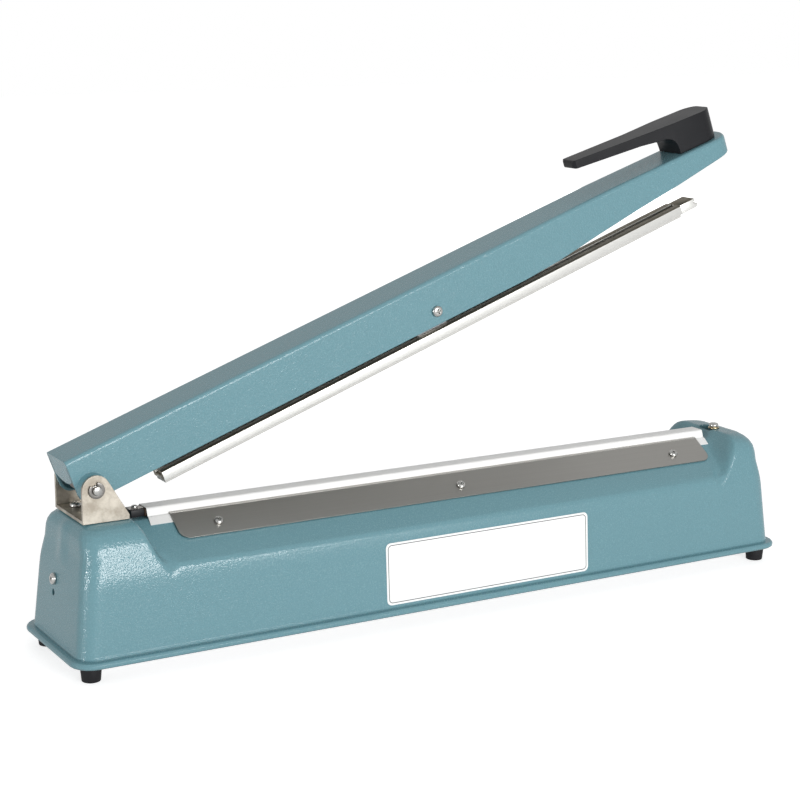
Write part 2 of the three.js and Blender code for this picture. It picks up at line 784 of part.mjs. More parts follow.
// Half of the cloth's section, from the middle of the flat down over the front slope, as points of Y and Z
function clothPath(inset) {
  const out = layerGap + clothThickness - inset;
  return [
    [0, clothTop - inset],
    [inset - clothFlatHalfWidth, clothTop - inset],
    [inset - clothFootHalfWidth, ridgeHeight + out],
    [-ridgeHalfWidth - out * Math.tan(slopeAngle / 2), ridgeHeight + out],
    slopePoint(clothLowerEdge, out),
  ];
}

// Cuts the corners off the cloth's flaps at one end
function clothTrim(endX, trim) {
  const [lowY] = slopePoint(clothLowerEdge, 0);
  const over = cutOverrun * Math.sign(endX);
  const pastY = lowY - cutOverrun;
  const slant = [[endX, -ridgeHalfWidth], [endX - trim * Math.sign(endX), lowY], [endX, pastY]];
  const corner = polygon([...slant, [endX + over, pastY], [endX + over, -ridgeHalfWidth]]);
  const tool = alongZ(corner, shoulderHeight, housingTop + cutOverrun);
  return join(tool, mirroredY(tool));
}

function makeSealingSurface() {
  const seat = ridgeHeight + seatGap;
  const strip = box(insulatorStart, insulatorEnd, -insulatorHalfWidth, insulatorHalfWidth, seat, insulatorTop);
  piece('insulator_strip', strip, bakelite);

  const outer = clothPath(0);
  const inner = clothPath(clothThickness);
  const mirror = (points) => points.slice(1).map(([y, z]) => [-y, z]);
  const upperSide = [...mirror(outer).reverse(), ...outer.slice(1)];
  const section = [...upperSide, ...inner.slice(1).reverse(), ...mirror(inner)];
  const cloth = alongX(polygon(section), clothLeft, clothRight);
  const trims = [clothTrim(clothLeft, clothTrimLeft), clothTrim(clothRight, clothTrimRight)];
  piece('ptfe_cloth', cut(cloth, ...trims), nonStick);

  const half = terminalLength / 2;
  const hole = terminalScrew.shankRadius + screwPlay;
  const halfWidth = terminalWidth / 2;
  const blockBody = (x) => box(x - half, x + half, -halfWidth, halfWidth, seat, insulatorTop);
  const upright = rodZ(hole, seat - cutOverrun, elementTop + cutOverrun).translate(leftTerminalX, 0, 0);
  const faceX = rightTerminalX + half;
  const screwZ = insulatorTop - terminalScrewDown;
  const across = rodZ(hole, -terminalScrewLength - screwPlay, cutOverrun).rotateY(quarterTurn);
  across.translate(faceX, 0, screwZ);
  piece('terminal_block_left', cut(blockBody(leftTerminalX), upright), blackPlastic);
  piece('terminal_block_right', cut(blockBody(rightTerminalX), across), blackPlastic);

  const tabX = faceX + layerGap;
  const halfElement = elementWidth / 2;
  const tabEnd = tabX + elementThickness;
  const underside = insulatorTop + layerGap;
  const flat = box(leftTerminalX - half, tabEnd, -halfElement, halfElement, underside, elementTop);
  const tab = box(tabX, tabEnd, -halfElement, halfElement, seat, elementTop);
  piece('heating_element', cut(join(flat, tab), upright, across), resistance);

  const leftScrew = crossScrew(terminalScrew, terminalScrewLength);
  piece('terminal_screw_left', leftScrew.translate(leftTerminalX, 0, elementTop + layerGap), zincSteel);
  const rightScrew = crossScrew(terminalScrew, terminalScrewLength - layerGap - elementThickness);
  const rightPlaced = rightScrew.rotateY(quarterTurn).translate(tabEnd + layerGap, 0, screwZ);
  piece('terminal_screw_right', rightPlaced, zincSteel);
}

// Press plates on the two slopes, each with three screws

function makePlates() {
  const under = layerGap * 2 + clothThickness;
  const hole = smallScrew.shankRadius + screwPlay;
  const outline = new THREE.Shape();
  const half = plateLength / 2;
  outline.moveTo(-half, plateWidth);
  outline.lineTo(-half, plateCornerRadius);
  const corner = plateCornerRadius;
  outline.absarc(corner - half, corner, corner, quarterTurn * 2, quarterTurn * 3);
  outline.absarc(half - corner, corner, corner, quarterTurn * 3, quarterTurn * 4);
  outline.lineTo(half, plateWidth);
  let plate = alongZ(outline, under, under + plateThickness);
  for (const x of plateScrewX) {
    const tool = rodZ(hole, under - cutOverrun, under + plateThickness + cutOverrun);
    plate = cut(plate, tool.translate(x - plateCentre, plateScrewUp, 0));
  }
  const lip = box(-half, half, -plateThickness, plateLipWidth, 0, plateThickness)
    .rotateX(plateLipAngle).translate(0, plateWidth, under);
  plate = join(plate, lip).translate(plateCentre, 0, 0);
  const [startY, startZ] = slopePoint(0, 0);
  plate.rotateX(slopeAngle).translate(0, startY, startZ);
  piece('front_plate', plate, stainless);
  piece('rear_plate', mirroredY(plate), stainless);

  ['left', 'middle', 'right'].forEach((place, i) => {
    const [y, z] = slopePoint(plateScrewUp, under + plateThickness + seatGap);
    const screw = crossScrew(smallScrew, plateScrewLength).rotateX(slopeAngle);
    screw.translate(plateScrewX[i], y, z);
    piece(`front_plate_screw_${place}`, screw, zincSteel);
    piece(`rear_plate_screw_${place}`, mirroredY(screw), zincSteel);
  });
}

// Hinge: bracket, pin, clips and spring

function makeHinge() {
  const bottom = housingTop + seatGap;
  const top = bottom + bracketThickness;
  const ear = new THREE.Shape();
  ear.moveTo(bracketLeftX, bottom);
  ear.lineTo(bracketRightX, bottom);
  ear.lineTo(bracketRightX, top + earFootRise);
  const toFoot = new THREE.Vector2(bracketRightX - pivotX, top + earFootRise - pivotZ);
  const tangent = toFoot.angle() + Math.acos(earRadius / toFoot.length());
  ear.absarc(pivotX, pivotZ, earRadius, tangent, quarterTurn * 2 + quarterTurn * 4);
  const inside = bracketHalfWidth - bracketThickness;
  let bracket = join(
    box(bracketLeftX, bracketRightX, -bracketHalfWidth, bracketHalfWidth, bottom, top),
    alongY(ear, -bracketHalfWidth, -inside),
    alongY(ear, inside, bracketHalfWidth),
  );
  const beyond = bracketHalfWidth + cutOverrun;
  const pinHole = rodY(pinRadius + runningPlay, -beyond, beyond, roundSides);
  bracket = cut(bracket, pinHole.translate(pivotX, 0, pivotZ));
  for (const y of [-bracketScrewY, bracketScrewY]) {
    const hole = rodZ(middleScrew.shankRadius + screwPlay, bottom - cutOverrun, top + cutOverrun);
    bracket = cut(bracket, hole.translate(pivotX, y, 0));
    const screw = crossScrew(middleScrew, bracketScrewLength).translate(pivotX, y, top + seatGap);
    piece(`bracket_screw_${y < 0 ? 'front' : 'rear'}`, screw, zincSteel);
  }
  piece('hinge_bracket', bracket, nickel);

  const grooveStart = bracketHalfWidth + seatGap;
  const grooveEnd = grooveStart + clipThickness + seatGap * 2;
  const halfProfile = [
    [pinRadius, grooveStart], [pinGrooveRadius, grooveStart], [pinGrooveRadius, grooveEnd],
    [pinRadius, grooveEnd], [pinRadius, pinHalfLength - pinDome], [pinRadius - pinDome, pinHalfLength],
    [0, pinHalfLength],
  ];
  const otherHalf = halfProfile.map(([radius, along]) => [radius, -along]).reverse();
  const pin = turned([...otherHalf, ...halfProfile]).rotateX(quarterTurn);
  piece('hinge_pin', pin.translate(pivotX, 0, pivotZ), zincSteel);

  const clip = new THREE.Shape();
  const start = clipTurnAngle + clipMouthAngle / 2;
  const end = clipTurnAngle - clipMouthAngle / 2 + quarterTurn * 4;
  clip.absarc(0, 0, clipRadius, start, end);
  clip.absarc(0, 0, pinGrooveRadius + runningPlay, end, start, true);
  const clipY = grooveStart + seatGap;
  const frontClip = alongY(clip, -clipY - clipThickness, -clipY).translate(pivotX, 0, pivotZ);
  piece('pin_clip_front', frontClip, springSteel);
  piece('pin_clip_rear', mirroredY(frontClip), springSteel);

  const armLegV = armTopV - armThickness - seatGap - hingeWire / 2;
  const armLeg = new THREE.Vector2(hingeArmLegU, armLegV).rotateAround(new THREE.Vector2(), armAngle);
  const baseLeg = new THREE.Vector2(hingeBaseLegX, top + seatGap + hingeWire / 2 - pivotZ);
  const startAngle = armLeg.angle() + Math.acos(hingeCoilRadius / armLeg.length());
  const endAngle = baseLeg.angle() - Math.acos(hingeCoilRadius / baseLeg.length());
  const partTurn = THREE.MathUtils.euclideanModulo(endAngle - startAngle, quarterTurn * 4);
  const sweep = quarterTurn * 4 * hingeTurns + partTurn;
  const coilHalf = sweep / (quarterTurn * 4) * hingeCoilPitch / 2;
  const coil = [];
  const steps = Math.round(sweep / quarterTurn * 2);
  for (let step = 0; step <= steps; step++) {
    const angle = startAngle + sweep * step / steps;
    const y = THREE.MathUtils.lerp(-coilHalf, coilHalf, step / steps);
    coil.push(new THREE.Vector3(hingeCoilRadius * Math.cos(angle), y, hingeCoilRadius * Math.sin(angle)));
  }
  const legStart = new THREE.Vector3(armLeg.x, -coilHalf, armLeg.y);
  const legEnd = new THREE.Vector3(baseLeg.x, coilHalf, baseLeg.y);
  const points = [
    legStart, legStart.clone().lerp(coil[0], 1 / 3), legStart.clone().lerp(coil[0], 2 / 3), ...coil,
    legEnd.clone().lerp(coil[steps], 2 / 3), legEnd.clone().lerp(coil[steps], 1 / 3), legEnd,
  ];
  const spring = tube(points, hingeWire / 2, hingeCoilRadius * quarterTurn / 2);
  console.log('hinge_spring least self gap', leastSelfGap(coil, hingeWire, 4).toFixed(2), 'mm');
  piece('hinge_spring', spring.translate(pivotX, 0, pivotZ), springSteel);
}

// A wire through points, with five sides
function tube(points, radius, stepLength) {
  const sides = 5;
  const section = new THREE.Shape();
  for (let side = 0; side < sides; side++) {
    const angle = side / sides * quarterTurn * 4;
    const [x, y] = [radius * Math.cos(angle), radius * Math.sin(angle)];
    if (side === 0) section.moveTo(x, y);
    else section.lineTo(x, y);
  }
  const path = new THREE.CatmullRomCurve3(points);
  const steps = Math.round(path.getLength() / stepLength);
  return new THREE.ExtrudeGeometry(section, { steps, bevelEnabled: false, extrudePath: path });
}

// The least distance between the surfaces of a wire's turns, from points that are at least half a turn apart
function leastSelfGap(points, wire, apart) {
  let least = Infinity;
  for (let i = 0; i < points.length; i++) {
    for (let j = i + apart; j < points.length; j++) {
      least = Math.min(least, points[i].distanceTo(points[j]) - wire);
    }
  }
  return least;
}

// Arm

function armTopAt(u) {
  const share = THREE.MathUtils.clamp((u - armDroopStartU) / (armNoseU - armDroopStartU), 0, 1);
  return armTopV - armDroop * share;
}

function armBottomAt(u) {
  const share = (u - armTaperStartU) / (armNoseU - armTaperStartU);
  if (share <= 0) return armBottomV;
  const after = taperShares.findIndex(([along]) => along >= share - Number.EPSILON * 4);
  const [start, low] = taperShares[after - 1];
  const [end, high] = taperShares[after];
  return armBottomV + armTaperRise * THREE.MathUtils.mapLinear(share, start, end, low, high);
}

// The arm's channel as a solid bar, or with an inset the space inside it
function armBar(inset) {
  const noseStart = armNoseU - armNoseRadius;
  const stations = [armStartU + inset];
  for (const [share] of taperShares) stations.push(THREE.MathUtils.lerp(armTaperStartU, armNoseU, share));
  stations.pop();
  stations.push(armDroopStartU, noseStart);
  const steps = cornerSteps + 1;
  for (let step = 1; step <= steps; step++) {
    stations.push(noseStart + (armNoseRadius - inset) * Math.sin(quarterTurn * step / steps));
  }
  stations.sort((one, other) => one - other);
  const rings = stations.map((u) => {
    const past = Math.max(0, u - noseStart);
    const radius = armNoseRadius - inset;
    const half = armHalfWidth - armNoseRadius + Math.sqrt(Math.max(0, radius * radius - past * past));
    const top = armTopAt(u) - inset;
    const bottom = inset > 0 ? armBottomV - cutOverrun : armBottomAt(u);
    const bend = armBendRadius - inset;
    const points = [[-half, bottom], [half, bottom]];
    for (let step = 0; step <= cornerSteps; step++) {
      const angle = quarterTurn * step / cornerSteps;
      points.push([half - bend + bend * Math.cos(angle), top - bend + bend * Math.sin(angle)]);
    }
    for (let step = 0; step <= cornerSteps; step++) {
      const angle = quarterTurn * (1 + step / cornerSteps);
      points.push([bend - half + bend * Math.cos(angle), top - bend + bend * Math.sin(angle)]);
    }
    return points.map(([y, v]) => new THREE.Vector3(u, y, v));
  });
  return loft(rings, (point) => new THREE.Vector2(point.y, point.z));
}

// Where the handle's screws go through the arm
const handleScrewPlaces = [['left', handleScrewFirstU], ['right', handleScrewFirstU + handleScrewPitch]];

function makeArm() {
  let channel = solid(armBar(0)).subtract(solid(armBar(armThickness)));
  const bossFace = bracketHalfWidth - bracketThickness - seatGap;
  const wallMiddle = armHalfWidth - armThickness / 2;
  const boss = rodY(pivotBossRadius, wallMiddle, bossFace, roundSides, pivotBossFaceRadius);
  const hollow = rodY(
    pivotBossRadius - armThickness, armHalfWidth - armThickness * 2, bossFace - armThickness,
    roundSides, pivotBossFaceRadius - armThickness,
  );
  const corner = new THREE.Shape();
  corner.moveTo(armStartU - cutOverrun, armBottomV - cutOverrun);
  corner.lineTo(armStartU + armHeelRadius, armBottomV - cutOverrun);
  const [heelU, heelV] = [armStartU + armHeelRadius, armBottomV + armHeelRadius];
  corner.absarc(heelU, heelV, armHeelRadius, -quarterTurn, -quarterTurn * 2, true);
  corner.lineTo(armStartU - cutOverrun, armBottomV + armHeelRadius);
  const wide = bracketHalfWidth + cutOverrun;
  for (const side of [boss, mirroredY(boss)]) channel = channel.add(solid(side));
  const tools = [
    hollow, mirroredY(hollow), alongY(corner, -wide, wide),
    rodY(pinRadius + runningPlay, -wide, wide, roundSides),
    rodY(middleScrew.shankRadius + screwPlay, -wide, wide).translate(barPivotU, 0, barPivotV),
  ];
  for (const [, u] of handleScrewPlaces) {
    const top = armTopAt(u);
    const hole = rodZ(smallScrew.shankRadius + screwPlay, top - cutOverrun, top + cutOverrun);
    tools.push(hole.translate(u, 0, 0));
  }
  const inside = armHalfWidth - armThickness;
  const flapEdge = [[-inside, armBottomV - cutOverrun], [inside, armBottomV - cutOverrun]];
  for (let step = 0; step <= blendSteps; step++) {
    const share = 1 - step / blendSteps * 2;
    flapEdge.push([inside * share, flapBottomV + flapCurve * share * share]);
  }
  const flapStart = armStartU - cutOverrun;
  const flapEnd = armStartU + armThickness + weldDistance;
  const slit = box(flapStart, flapEnd, inside - flapSlit, inside, armBottomV, flapSlitTopV);
  tools.push(alongX(polygon(flapEdge), flapStart, flapEnd), slit, mirroredY(slit));
  for (const tool of tools) channel = channel.subtract(solid(tool));
  piece('arm', surfaceOf(channel), enamel, armGroup);
}

// Handle, screwed to the arm from inside the channel

function makeHandle() {
  const seatV = (u) => armTopAt(u) + seatGap;
  const side = new THREE.Shape();
  side.moveTo(handleNeckU, seatV(handleNeckU));
  side.lineTo(handleEndU, seatV(handleEndU));
  side.lineTo(handleEndU, handleHeelV - handleHeelCorner);
  side.quadraticCurveTo(handleEndU, handleHeelV, handleEndU - handleHeelCorner, handleHeelV);
  side.lineTo(handleMiddleU, handleMiddleV);
  side.lineTo(handleTipU + handleTipCorner, handleTipV);
  side.quadraticCurveTo(handleTipU, handleTipV, handleTipU, handleTipV - handleTipCorner);
  const tipLowV = handleTipV - handleTipThickness;
  side.lineTo(handleTipU, tipLowV + handleTipCorner);
  side.quadraticCurveTo(handleTipU, tipLowV, handleTipU + handleTipCorner, tipLowV);
  side.lineTo(handleMiddleU, handleMiddleV - handleMiddleThickness);
  side.lineTo(handleNeckStartU, handleNeckV);
  const archLowV = handleNeckV - (handleNeckU - handleNeckStartU);
  side.quadraticCurveTo(handleNeckU, handleNeckV, handleNeckU, archLowV);
  const plan = new THREE.Shape();
  plan.moveTo(handleTipU, -handleTipHalfWidth + handleTipCorner);
  plan.lineTo(handleTipU + handleTipCorner, -handleTipHalfWidth);
  plan.lineTo(handleMiddleU, -handleMiddleHalfWidth);
  plan.lineTo(handleNeckU, -handleHalfWidth);
  plan.absarc(handleEndU - handleHalfWidth, 0, handleHalfWidth, -quarterTurn, quarterTurn);
  plan.lineTo(handleNeckU, handleHalfWidth);
  plan.lineTo(handleMiddleU, handleMiddleHalfWidth);
  plan.lineTo(handleTipU + handleTipCorner, handleTipHalfWidth);
  plan.lineTo(handleTipU, handleTipHalfWidth - handleTipCorner);
  let handle = common(
    alongY(side, -handleHalfWidth - cutOverrun, handleHalfWidth + cutOverrun),
    alongZ(plan, armBottomV, handleTipV + cutOverrun),
  );
  for (const [place, u] of handleScrewPlaces) {
    const head = armTopAt(u) - armThickness - seatGap;
    const bore = rodZ(smallScrew.shankRadius + screwPlay, head, head + handleScrewLength + seatGap);
    handle = cut(handle, bore.translate(u, 0, 0));
    const screw = crossScrew(smallScrew, handleScrewLength).rotateX(quarterTurn * 2);
    piece(`handle_screw_${place}`, screw.translate(u, 0, head), zincSteel, armGroup);
  }
  piece('handle', handle, blackPlastic, armGroup);
}

// Press bar with its hanger, its silicone strip and the striker that meets the switch

function makePressBar() {
  const slotFloor = barTopV - barSlotDepth;
  const cavityFloor = slotFloor - barCavityHeight;
  const grooveTop = barBottomV + barGrooveDepth;
  const half = [
    [0, cavityFloor], [barCavityHalfWidth, cavityFloor], [barCavityHalfWidth, slotFloor],
    [barSlotHalfWidth, slotFloor], [barSlotHalfWidth, barTopV], [barHalfWidth - barChamfer, barTopV],
    [barHalfWidth, barTopV - barChamfer], [barHalfWidth, barBottomV], [barGrooveHalfWidth, barBottomV],
    [barGrooveHalfWidth, grooveTop], [0, grooveTop],
  ];
  const inner = half.slice(1, -1);
  const section = [...inner, ...inner.map(([y, v]) => [-y, v]).reverse()];
  piece('press_bar', alongX(polygon(section), barStartU, barEndU), anodised, armGroup);

  const ribHalf = barGrooveHalfWidth - seatGap;
  const strip = [
    [siliconeHalfWidth, siliconeBottomV], [siliconeHalfWidth, barBottomV - seatGap],
    [ribHalf, barBottomV - seatGap], [ribHalf, grooveTop - seatGap],
  ];
  const stripSection = [...strip, ...strip.map(([y, v]) => [-y, v]).reverse()];
  const siliconeStrip = alongX(polygon(stripSection), barStartU + siliconeEndInset, barEndU - siliconeEndInset);
  piece('silicone_strip', siliconeStrip, silicone, armGroup);

  const top = slotFloor - seatGap;
  const floor = cavityFloor + seatGap;
  const footHalf = barCavityHalfWidth - seatGap;
  const eye = new THREE.Shape();
  eye.moveTo(-hangerFootLength / 2, floor);
  eye.lineTo(hangerFootLength / 2, floor);
  eye.lineTo(hangerFootLength / 2, barTopV);
  eye.lineTo(hangerEarRadius, barPivotV);
  eye.absarc(0, barPivotV, hangerEarRadius, 0, quarterTurn * 2);
  eye.lineTo(-hangerFootLength / 2, barTopV);
  const hanger = cut(
    join(
      alongY(eye, -hangerHalfThickness, hangerHalfThickness),
      box(-hangerFootLength / 2, hangerFootLength / 2, -footHalf, footHalf, floor, top),
    ),
    rodY(middleScrew.shankRadius + screwPlay, -cutOverrun, cutOverrun).translate(0, 0, barPivotV),
  );
  piece('bar_hanger', hanger.translate(barPivotU, 0, 0), zincSteel, armGroup);

  const inside = armHalfWidth - armThickness;
  const bore = middleScrew.shankRadius + screwPlay;
  const spacerStart = hangerHalfThickness + seatGap;
  const spacerEnd = inside - seatGap;
  const spacer = turned([
    [bore, spacerStart], [spacerRadius, spacerStart], [spacerRadius, spacerEnd], [bore, spacerEnd],
    [bore, spacerStart],
  ]).rotateX(quarterTurn).translate(barPivotU, 0, barPivotV);
  piece('bar_spacer_front', spacer, zincSteel, armGroup);
  piece('bar_spacer_rear', mirroredY(spacer), zincSteel, armGroup);

  const headSeat = armHalfWidth + seatGap;
  const screwLength = headSeat * 2 + nutHeight + seatGap * 2;
  const screw = crossScrew(middleScrew, screwLength).rotateX(quarterTurn);
  piece('bar_screw', screw.translate(barPivotU, -headSeat, barPivotV), zincSteel, armGroup);
  const nutRadius = nutAcross / 2 / Math.cos(Math.PI / 6);
  const nutEnd = headSeat + nutHeight;
  const nutDrill = rodY(bore, headSeat - cutOverrun, nutEnd + cutOverrun);
  const nut = cut(rodY(nutRadius, headSeat, nutEnd, 6), nutDrill);
  piece('bar_nut', nut.translate(barPivotU, 0, barPivotV), zincSteel, armGroup);

  const start = barEndU + seatGap;
  const end = start + strikerLength;
  const strikerTop = barTopV - seatGap;
  const striker = polygon([
    [start, strikerTop], [end - strikerStep, strikerTop],
    [end - strikerStep, strikerTop - strikerStep],
    [end - strikerNotch, strikerTop - strikerNotch * strikerDipShare],
    [end, strikerTop - strikerNotch * strikerDropShare], [end, strikerBottomV + strikerStep * strikerToeShare],
    [end - strikerStep, strikerBottomV], [start, strikerBottomV],
  ]);
  const block = alongY(striker, -strikerHalfWidth, strikerHalfWidth);
  const tongue = box(barEndU - strikerTongue, start + strikerStep, -footHalf, footHalf, floor, top);
  piece('switch_striker', join(block, tongue), anodised, armGroup);
}

// Switch: a plunger in the slot of the right raised end, which presses a micro switch inside

function makeSwitch() {
  const flangeBottom = plungerTop - plungerKnobHeight - plungerNeckHeight - plungerFlangeHeight;
  const flangeTop = flangeBottom + plungerFlangeHeight;
  const knobBottom = flangeTop + plungerNeckHeight;
  const collarTop = bushBottom - seatGap;
  const collarBottom = collarTop - collarHeight;
  const bodyTop = switchShelfTop - switchSheet - seatGap * 2 - plungerTravel - switchButtonHeight;
  const stemEnd = bodyTop + switchButtonHeight + plungerTravel + seatGap;
  const bevel = plungerKnobHeight / 3;
  const plunger = turned([
    [0, stemEnd], [stemRadius, stemEnd], [stemRadius, collarBottom], [collarRadius, collarBottom],
    [collarRadius, collarTop], [stemRadius, collarTop], [stemRadius, flangeBottom],
    [plungerFlangeRadius, flangeBottom], [plungerFlangeRadius, flangeTop], [plungerNeckRadius, flangeTop],
    [plungerNeckRadius, knobBottom], [plungerKnobRadius, knobBottom], [plungerKnobRadius, plungerTop - bevel],
    [plungerKnobRadius - bevel, plungerTop], [0, plungerTop],
  ]);
  piece('switch_plunger', plunger.translate(slotX, plungerY, 0), zincSteel);

  const bore = stemRadius + runningPlay;
  const seat = switchPlateTop + seatGap;
  const bush = turned([
    [bore, bushBottom], [bushBarrelRadius, bushBottom], [bushBarrelRadius, seat], [bushRadius, seat],
    [bushRadius, seat + bushFlangeHeight], [bushBarrelRadius, seat + bushFlangeHeight],
    [bushBarrelRadius, bushTop], [bore, bushTop], [bore, bushBottom],
  ]);
  piece('plunger_bush', bush.translate(slotX, plungerY, 0), bakelite);

  const low = switchShelfTop + seatGap + plungerWire / 2;
  const high = collarBottom - seatGap - plungerWire / 2;
  const points = [];
  const steps = plungerTurns * 8;
  for (let step = 0; step <= steps; step++) {
    const angle = quarterTurn * step / 2;
    const z = THREE.MathUtils.lerp(low, high, step / steps);
    points.push(new THREE.Vector3(plungerCoilRadius * Math.cos(angle), plungerCoilRadius * Math.sin(angle), z));
  }
  console.log('plunger_spring least self gap', leastSelfGap(points, plungerWire, 4).toFixed(2), 'mm');
  const spring = tube(points, plungerWire / 2, plungerCoilRadius * quarterTurn / 2);
  piece('plunger_spring', spring.translate(slotX, plungerY, 0), springSteel);

  const webX = slotX + switchThickness / 2 + seatGap;
  const webEnd = webX + switchSheet;
  const plateStart = webEnd - switchPlateLength;
  const y0 = plungerY - switchBracketWidth / 2;
  const y1 = plungerY + switchBracketWidth / 2;
  const seatZ = basePlateTop + seatGap;
  const frame = join(
    box(webX, webEnd, y0, y1, seatZ, switchPlateTop),
    box(plateStart, webEnd, y0, y1, switchPlateTop - switchSheet, switchPlateTop),
    box(plateStart, webEnd, y0, y1, switchShelfTop - switchSheet, switchShelfTop),
    box(plateStart, webEnd, y0, y1, seatZ, seatZ + switchSheet),
  );
  const atPlunger = (geometry) => geometry.translate(slotX, plungerY, 0);
  const bushHole = rodZ(bushBarrelRadius + seatGap, switchPlateTop - cutOverrun, bushTop, roundSides);
  const stemHole = rodZ(bore, switchShelfTop - cutOverrun, switchShelfTop + cutOverrun);
  let bracket = cut(frame, atPlunger(bushHole), atPlunger(stemHole));
  const bodyBottom = bodyTop - switchHeight;
  const [halfX, halfY] = [switchThickness / 2, switchLength / 2];
  const button = rodZ(switchButtonRadius, bodyTop - switchButtonHeight, bodyTop + switchButtonHeight);
  let body = atPlunger(join(box(-halfX, halfX, -halfY, halfY, bodyBottom, bodyTop), button));
  for (const offset of [-switchPegPitch / 2, switchPegPitch / 2]) {
    const [y, z] = [plungerY + offset, bodyBottom + switchPegUp];
    const place = (geometry) => geometry.rotateY(quarterTurn).translate(0, y, z);
    bracket = join(bracket, place(rodZ(switchPegRadius, slotX, webEnd - switchSheet / 2)));
    body = cut(body, place(rodZ(switchPegRadius + screwPlay, slotX - seatGap, webX + cutOverrun)));
  }
  piece('switch_bracket', bracket, zincSteel);
  piece('micro_switch', body, blackPlastic);
}

// Transformer that feeds the element

function makeTransformer() {
  const floor = basePlateTop + seatGap;
  const half = coreLength / 2;
  const windowWidth = (coreLength - coreLimb * 4) / 2;
  const windowLow = floor + coreLimb;
  const windowHigh = floor + coreHeight - coreLimb;
  let core = box(-half, half, -coreDepth / 2, coreDepth / 2, floor, floor + coreHeight);
  for (const start of [coreLimb, -coreLimb - windowWidth]) {
    core = cut(core, box(start, start + windowWidth, -coreDepth, coreDepth, windowLow, windowHigh));
  }
  piece('transformer_core', core.translate(transformerX, 0, 0), ironSheet);

  const innerX = coreLimb + coilGap;
  const outerX = coreLimb + windowWidth - coilGap;
  const innerY = coreDepth / 2 + coilGap;
  const outerY = innerY + coilWall;
  const coil = roundedRectangle(outerX, outerY, coilWall / 2);
  coil.holes.push(polygon([[-innerX, -innerY], [-innerX, innerY], [innerX, innerY], [innerX, -innerY]]));
  const coilSolid = alongZ(coil, windowLow + coilGap, windowHigh - coilGap);
  piece('transformer_coil', coilSolid.translate(transformerX, 0, 0), coilTape);
}

// Timer with its knob, lamp and mains inlet on the rear wall

function makeRearFittings() {
  const potFace = -wallThickness - seatGap;
  const potBack = potFace - potDepth;
  const pot = turned([
    [0, potBack], [potRadius, potBack], [potRadius, potFace], [potThreadRadius, potFace],
    [potThreadRadius, 0], [potShaftRadius, 0], [potShaftRadius, potShaftLength], [0, potShaftLength],
  ]);
  piece('timer_pot', onRearWall(pot, timerX, timerZ), blackPlastic);

  const boardFace = potBack - seatGap;
  const boardBack = boardFace - boardThickness;
  const middle = boardBack + boardThickness / 2;
  const half = boardLength / 2;
  const board = join(
    box(-half, half, -boardHeight / 2, boardHeight / 2, boardBack, boardFace),
    box(half / 3, half / 3 + relayLength, -relayWidth / 2, relayWidth / 2, boardBack - relayHeight, middle),
    rodZ(capacitorRadius, boardBack - capacitorHeight, middle).translate(-half / 3, 0, 0),
    rodZ(capacitorRadius, boardBack - capacitorHeight, middle).translate(-half * 2 / 3, 0, 0),
  );
  piece('timer_board', onRearWall(board, timerX, timerZ), circuitGreen);

  const bottom = seatGap;
  const top = bottom + knobHeight;
  const shaftPlay = potShaftRadius + runningPlay;
  const boreTop = bottom + knobBoreDepth;
  const gripRadius = knobRadius - knobGrip;
  let knob = turned([
    [shaftPlay, bottom], [knobRadius, bottom], [knobRadius, bottom + knobHeight - knobGripHeight],
    [gripRadius, bottom + knobHeight - knobGripHeight], [gripRadius, top - knobEdge],
    [gripRadius - knobEdge, top], [0, top], [0, boreTop], [shaftPlay, boreTop], [shaftPlay, bottom],
  ], roundSides);
  const pointerStart = knobEdge - knobRadius;
  const pointerEnd = knobEdge - gripRadius;
  knob = join(knob, box(-knobEdge, knobEdge, pointerStart, pointerEnd, bottom + knobEdge, top - knobEdge));
  piece('timer_knob', onRearWall(knob, timerX, timerZ), blackPlastic);

  const dome = seatGap + lampFlangeThickness;
  const lamp = turned([
    [0, -lampBody], [lampRadius, -lampBody], [lampRadius, seatGap], [lampFlangeRadius, seatGap],
    [lampFlangeRadius, dome], [lampRadius, dome],
    ...lampDomeShares.map(([across, up]) => [lampRadius * across, dome + lampDome * up]),
  ]);
  piece('lamp_lens', onRearWall(lamp, lampX, timerZ), redLens);

  const flange = seatGap + glandFlangeThickness;
  const gland = turned([
    [glandBore, -glandInside], [glandRadius, -glandInside],
    [glandRadius, seatGap], [glandFlangeRadius, seatGap],
    [glandFlangeRadius, flange], [glandNoseRadius, flange], [glandNoseRadius - knobEdge, glandNoseHeight],
    [glandBore, glandNoseHeight], [glandBore, -glandInside],
  ]);
  piece('cord_gland', onRearWall(gland, glandX, glandZ), rubber);
}

// Label and earthing screw

function makeLabel() {
  const outline = roundedRectangle(labelLength / 2, labelHeight / 2, labelCornerRadius);
  const card = alongZ(outline, layerGap, layerGap + labelThickness).rotateX(quarterTurn - sideDraftAngle);
  piece('label_plate', card.translate(labelX, -sideWallY(labelZ), labelZ), labelWhite);
  const screw = crossScrew(middleScrew, earthScrewLength).translate(0, 0, seatGap);
  screw.rotateY(endDraftAngle - quarterTurn).translate(-endWallX(earthScrewZ), earthScrewY, earthScrewZ);
  piece('earth_screw', screw, zincSteel);
}

makeHousing();
makeBase();
makeSealingSurface();
makePlates();
makeHinge();
makeArm();
makeHandle();
makePressBar();
makeSwitch();
makeTransformer();
makeRearFittings();
makeLabel();

export default sealer;
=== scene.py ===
# %% [markdown]
# # A hand impulse heat sealer
# The machine seals plastic bags. A cast base carries a heating element under a white non-stick cloth, and a
# press arm with a rubber-faced bar comes down on it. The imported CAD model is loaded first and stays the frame:
# every piece of this lesson sits where that model says, in metres, with the label side at -Y.

# %% Load the frame
import json
import math

import bmesh
import bpy
from mathutils import Matrix, Vector
from mathutils.bvhtree import BVHTree


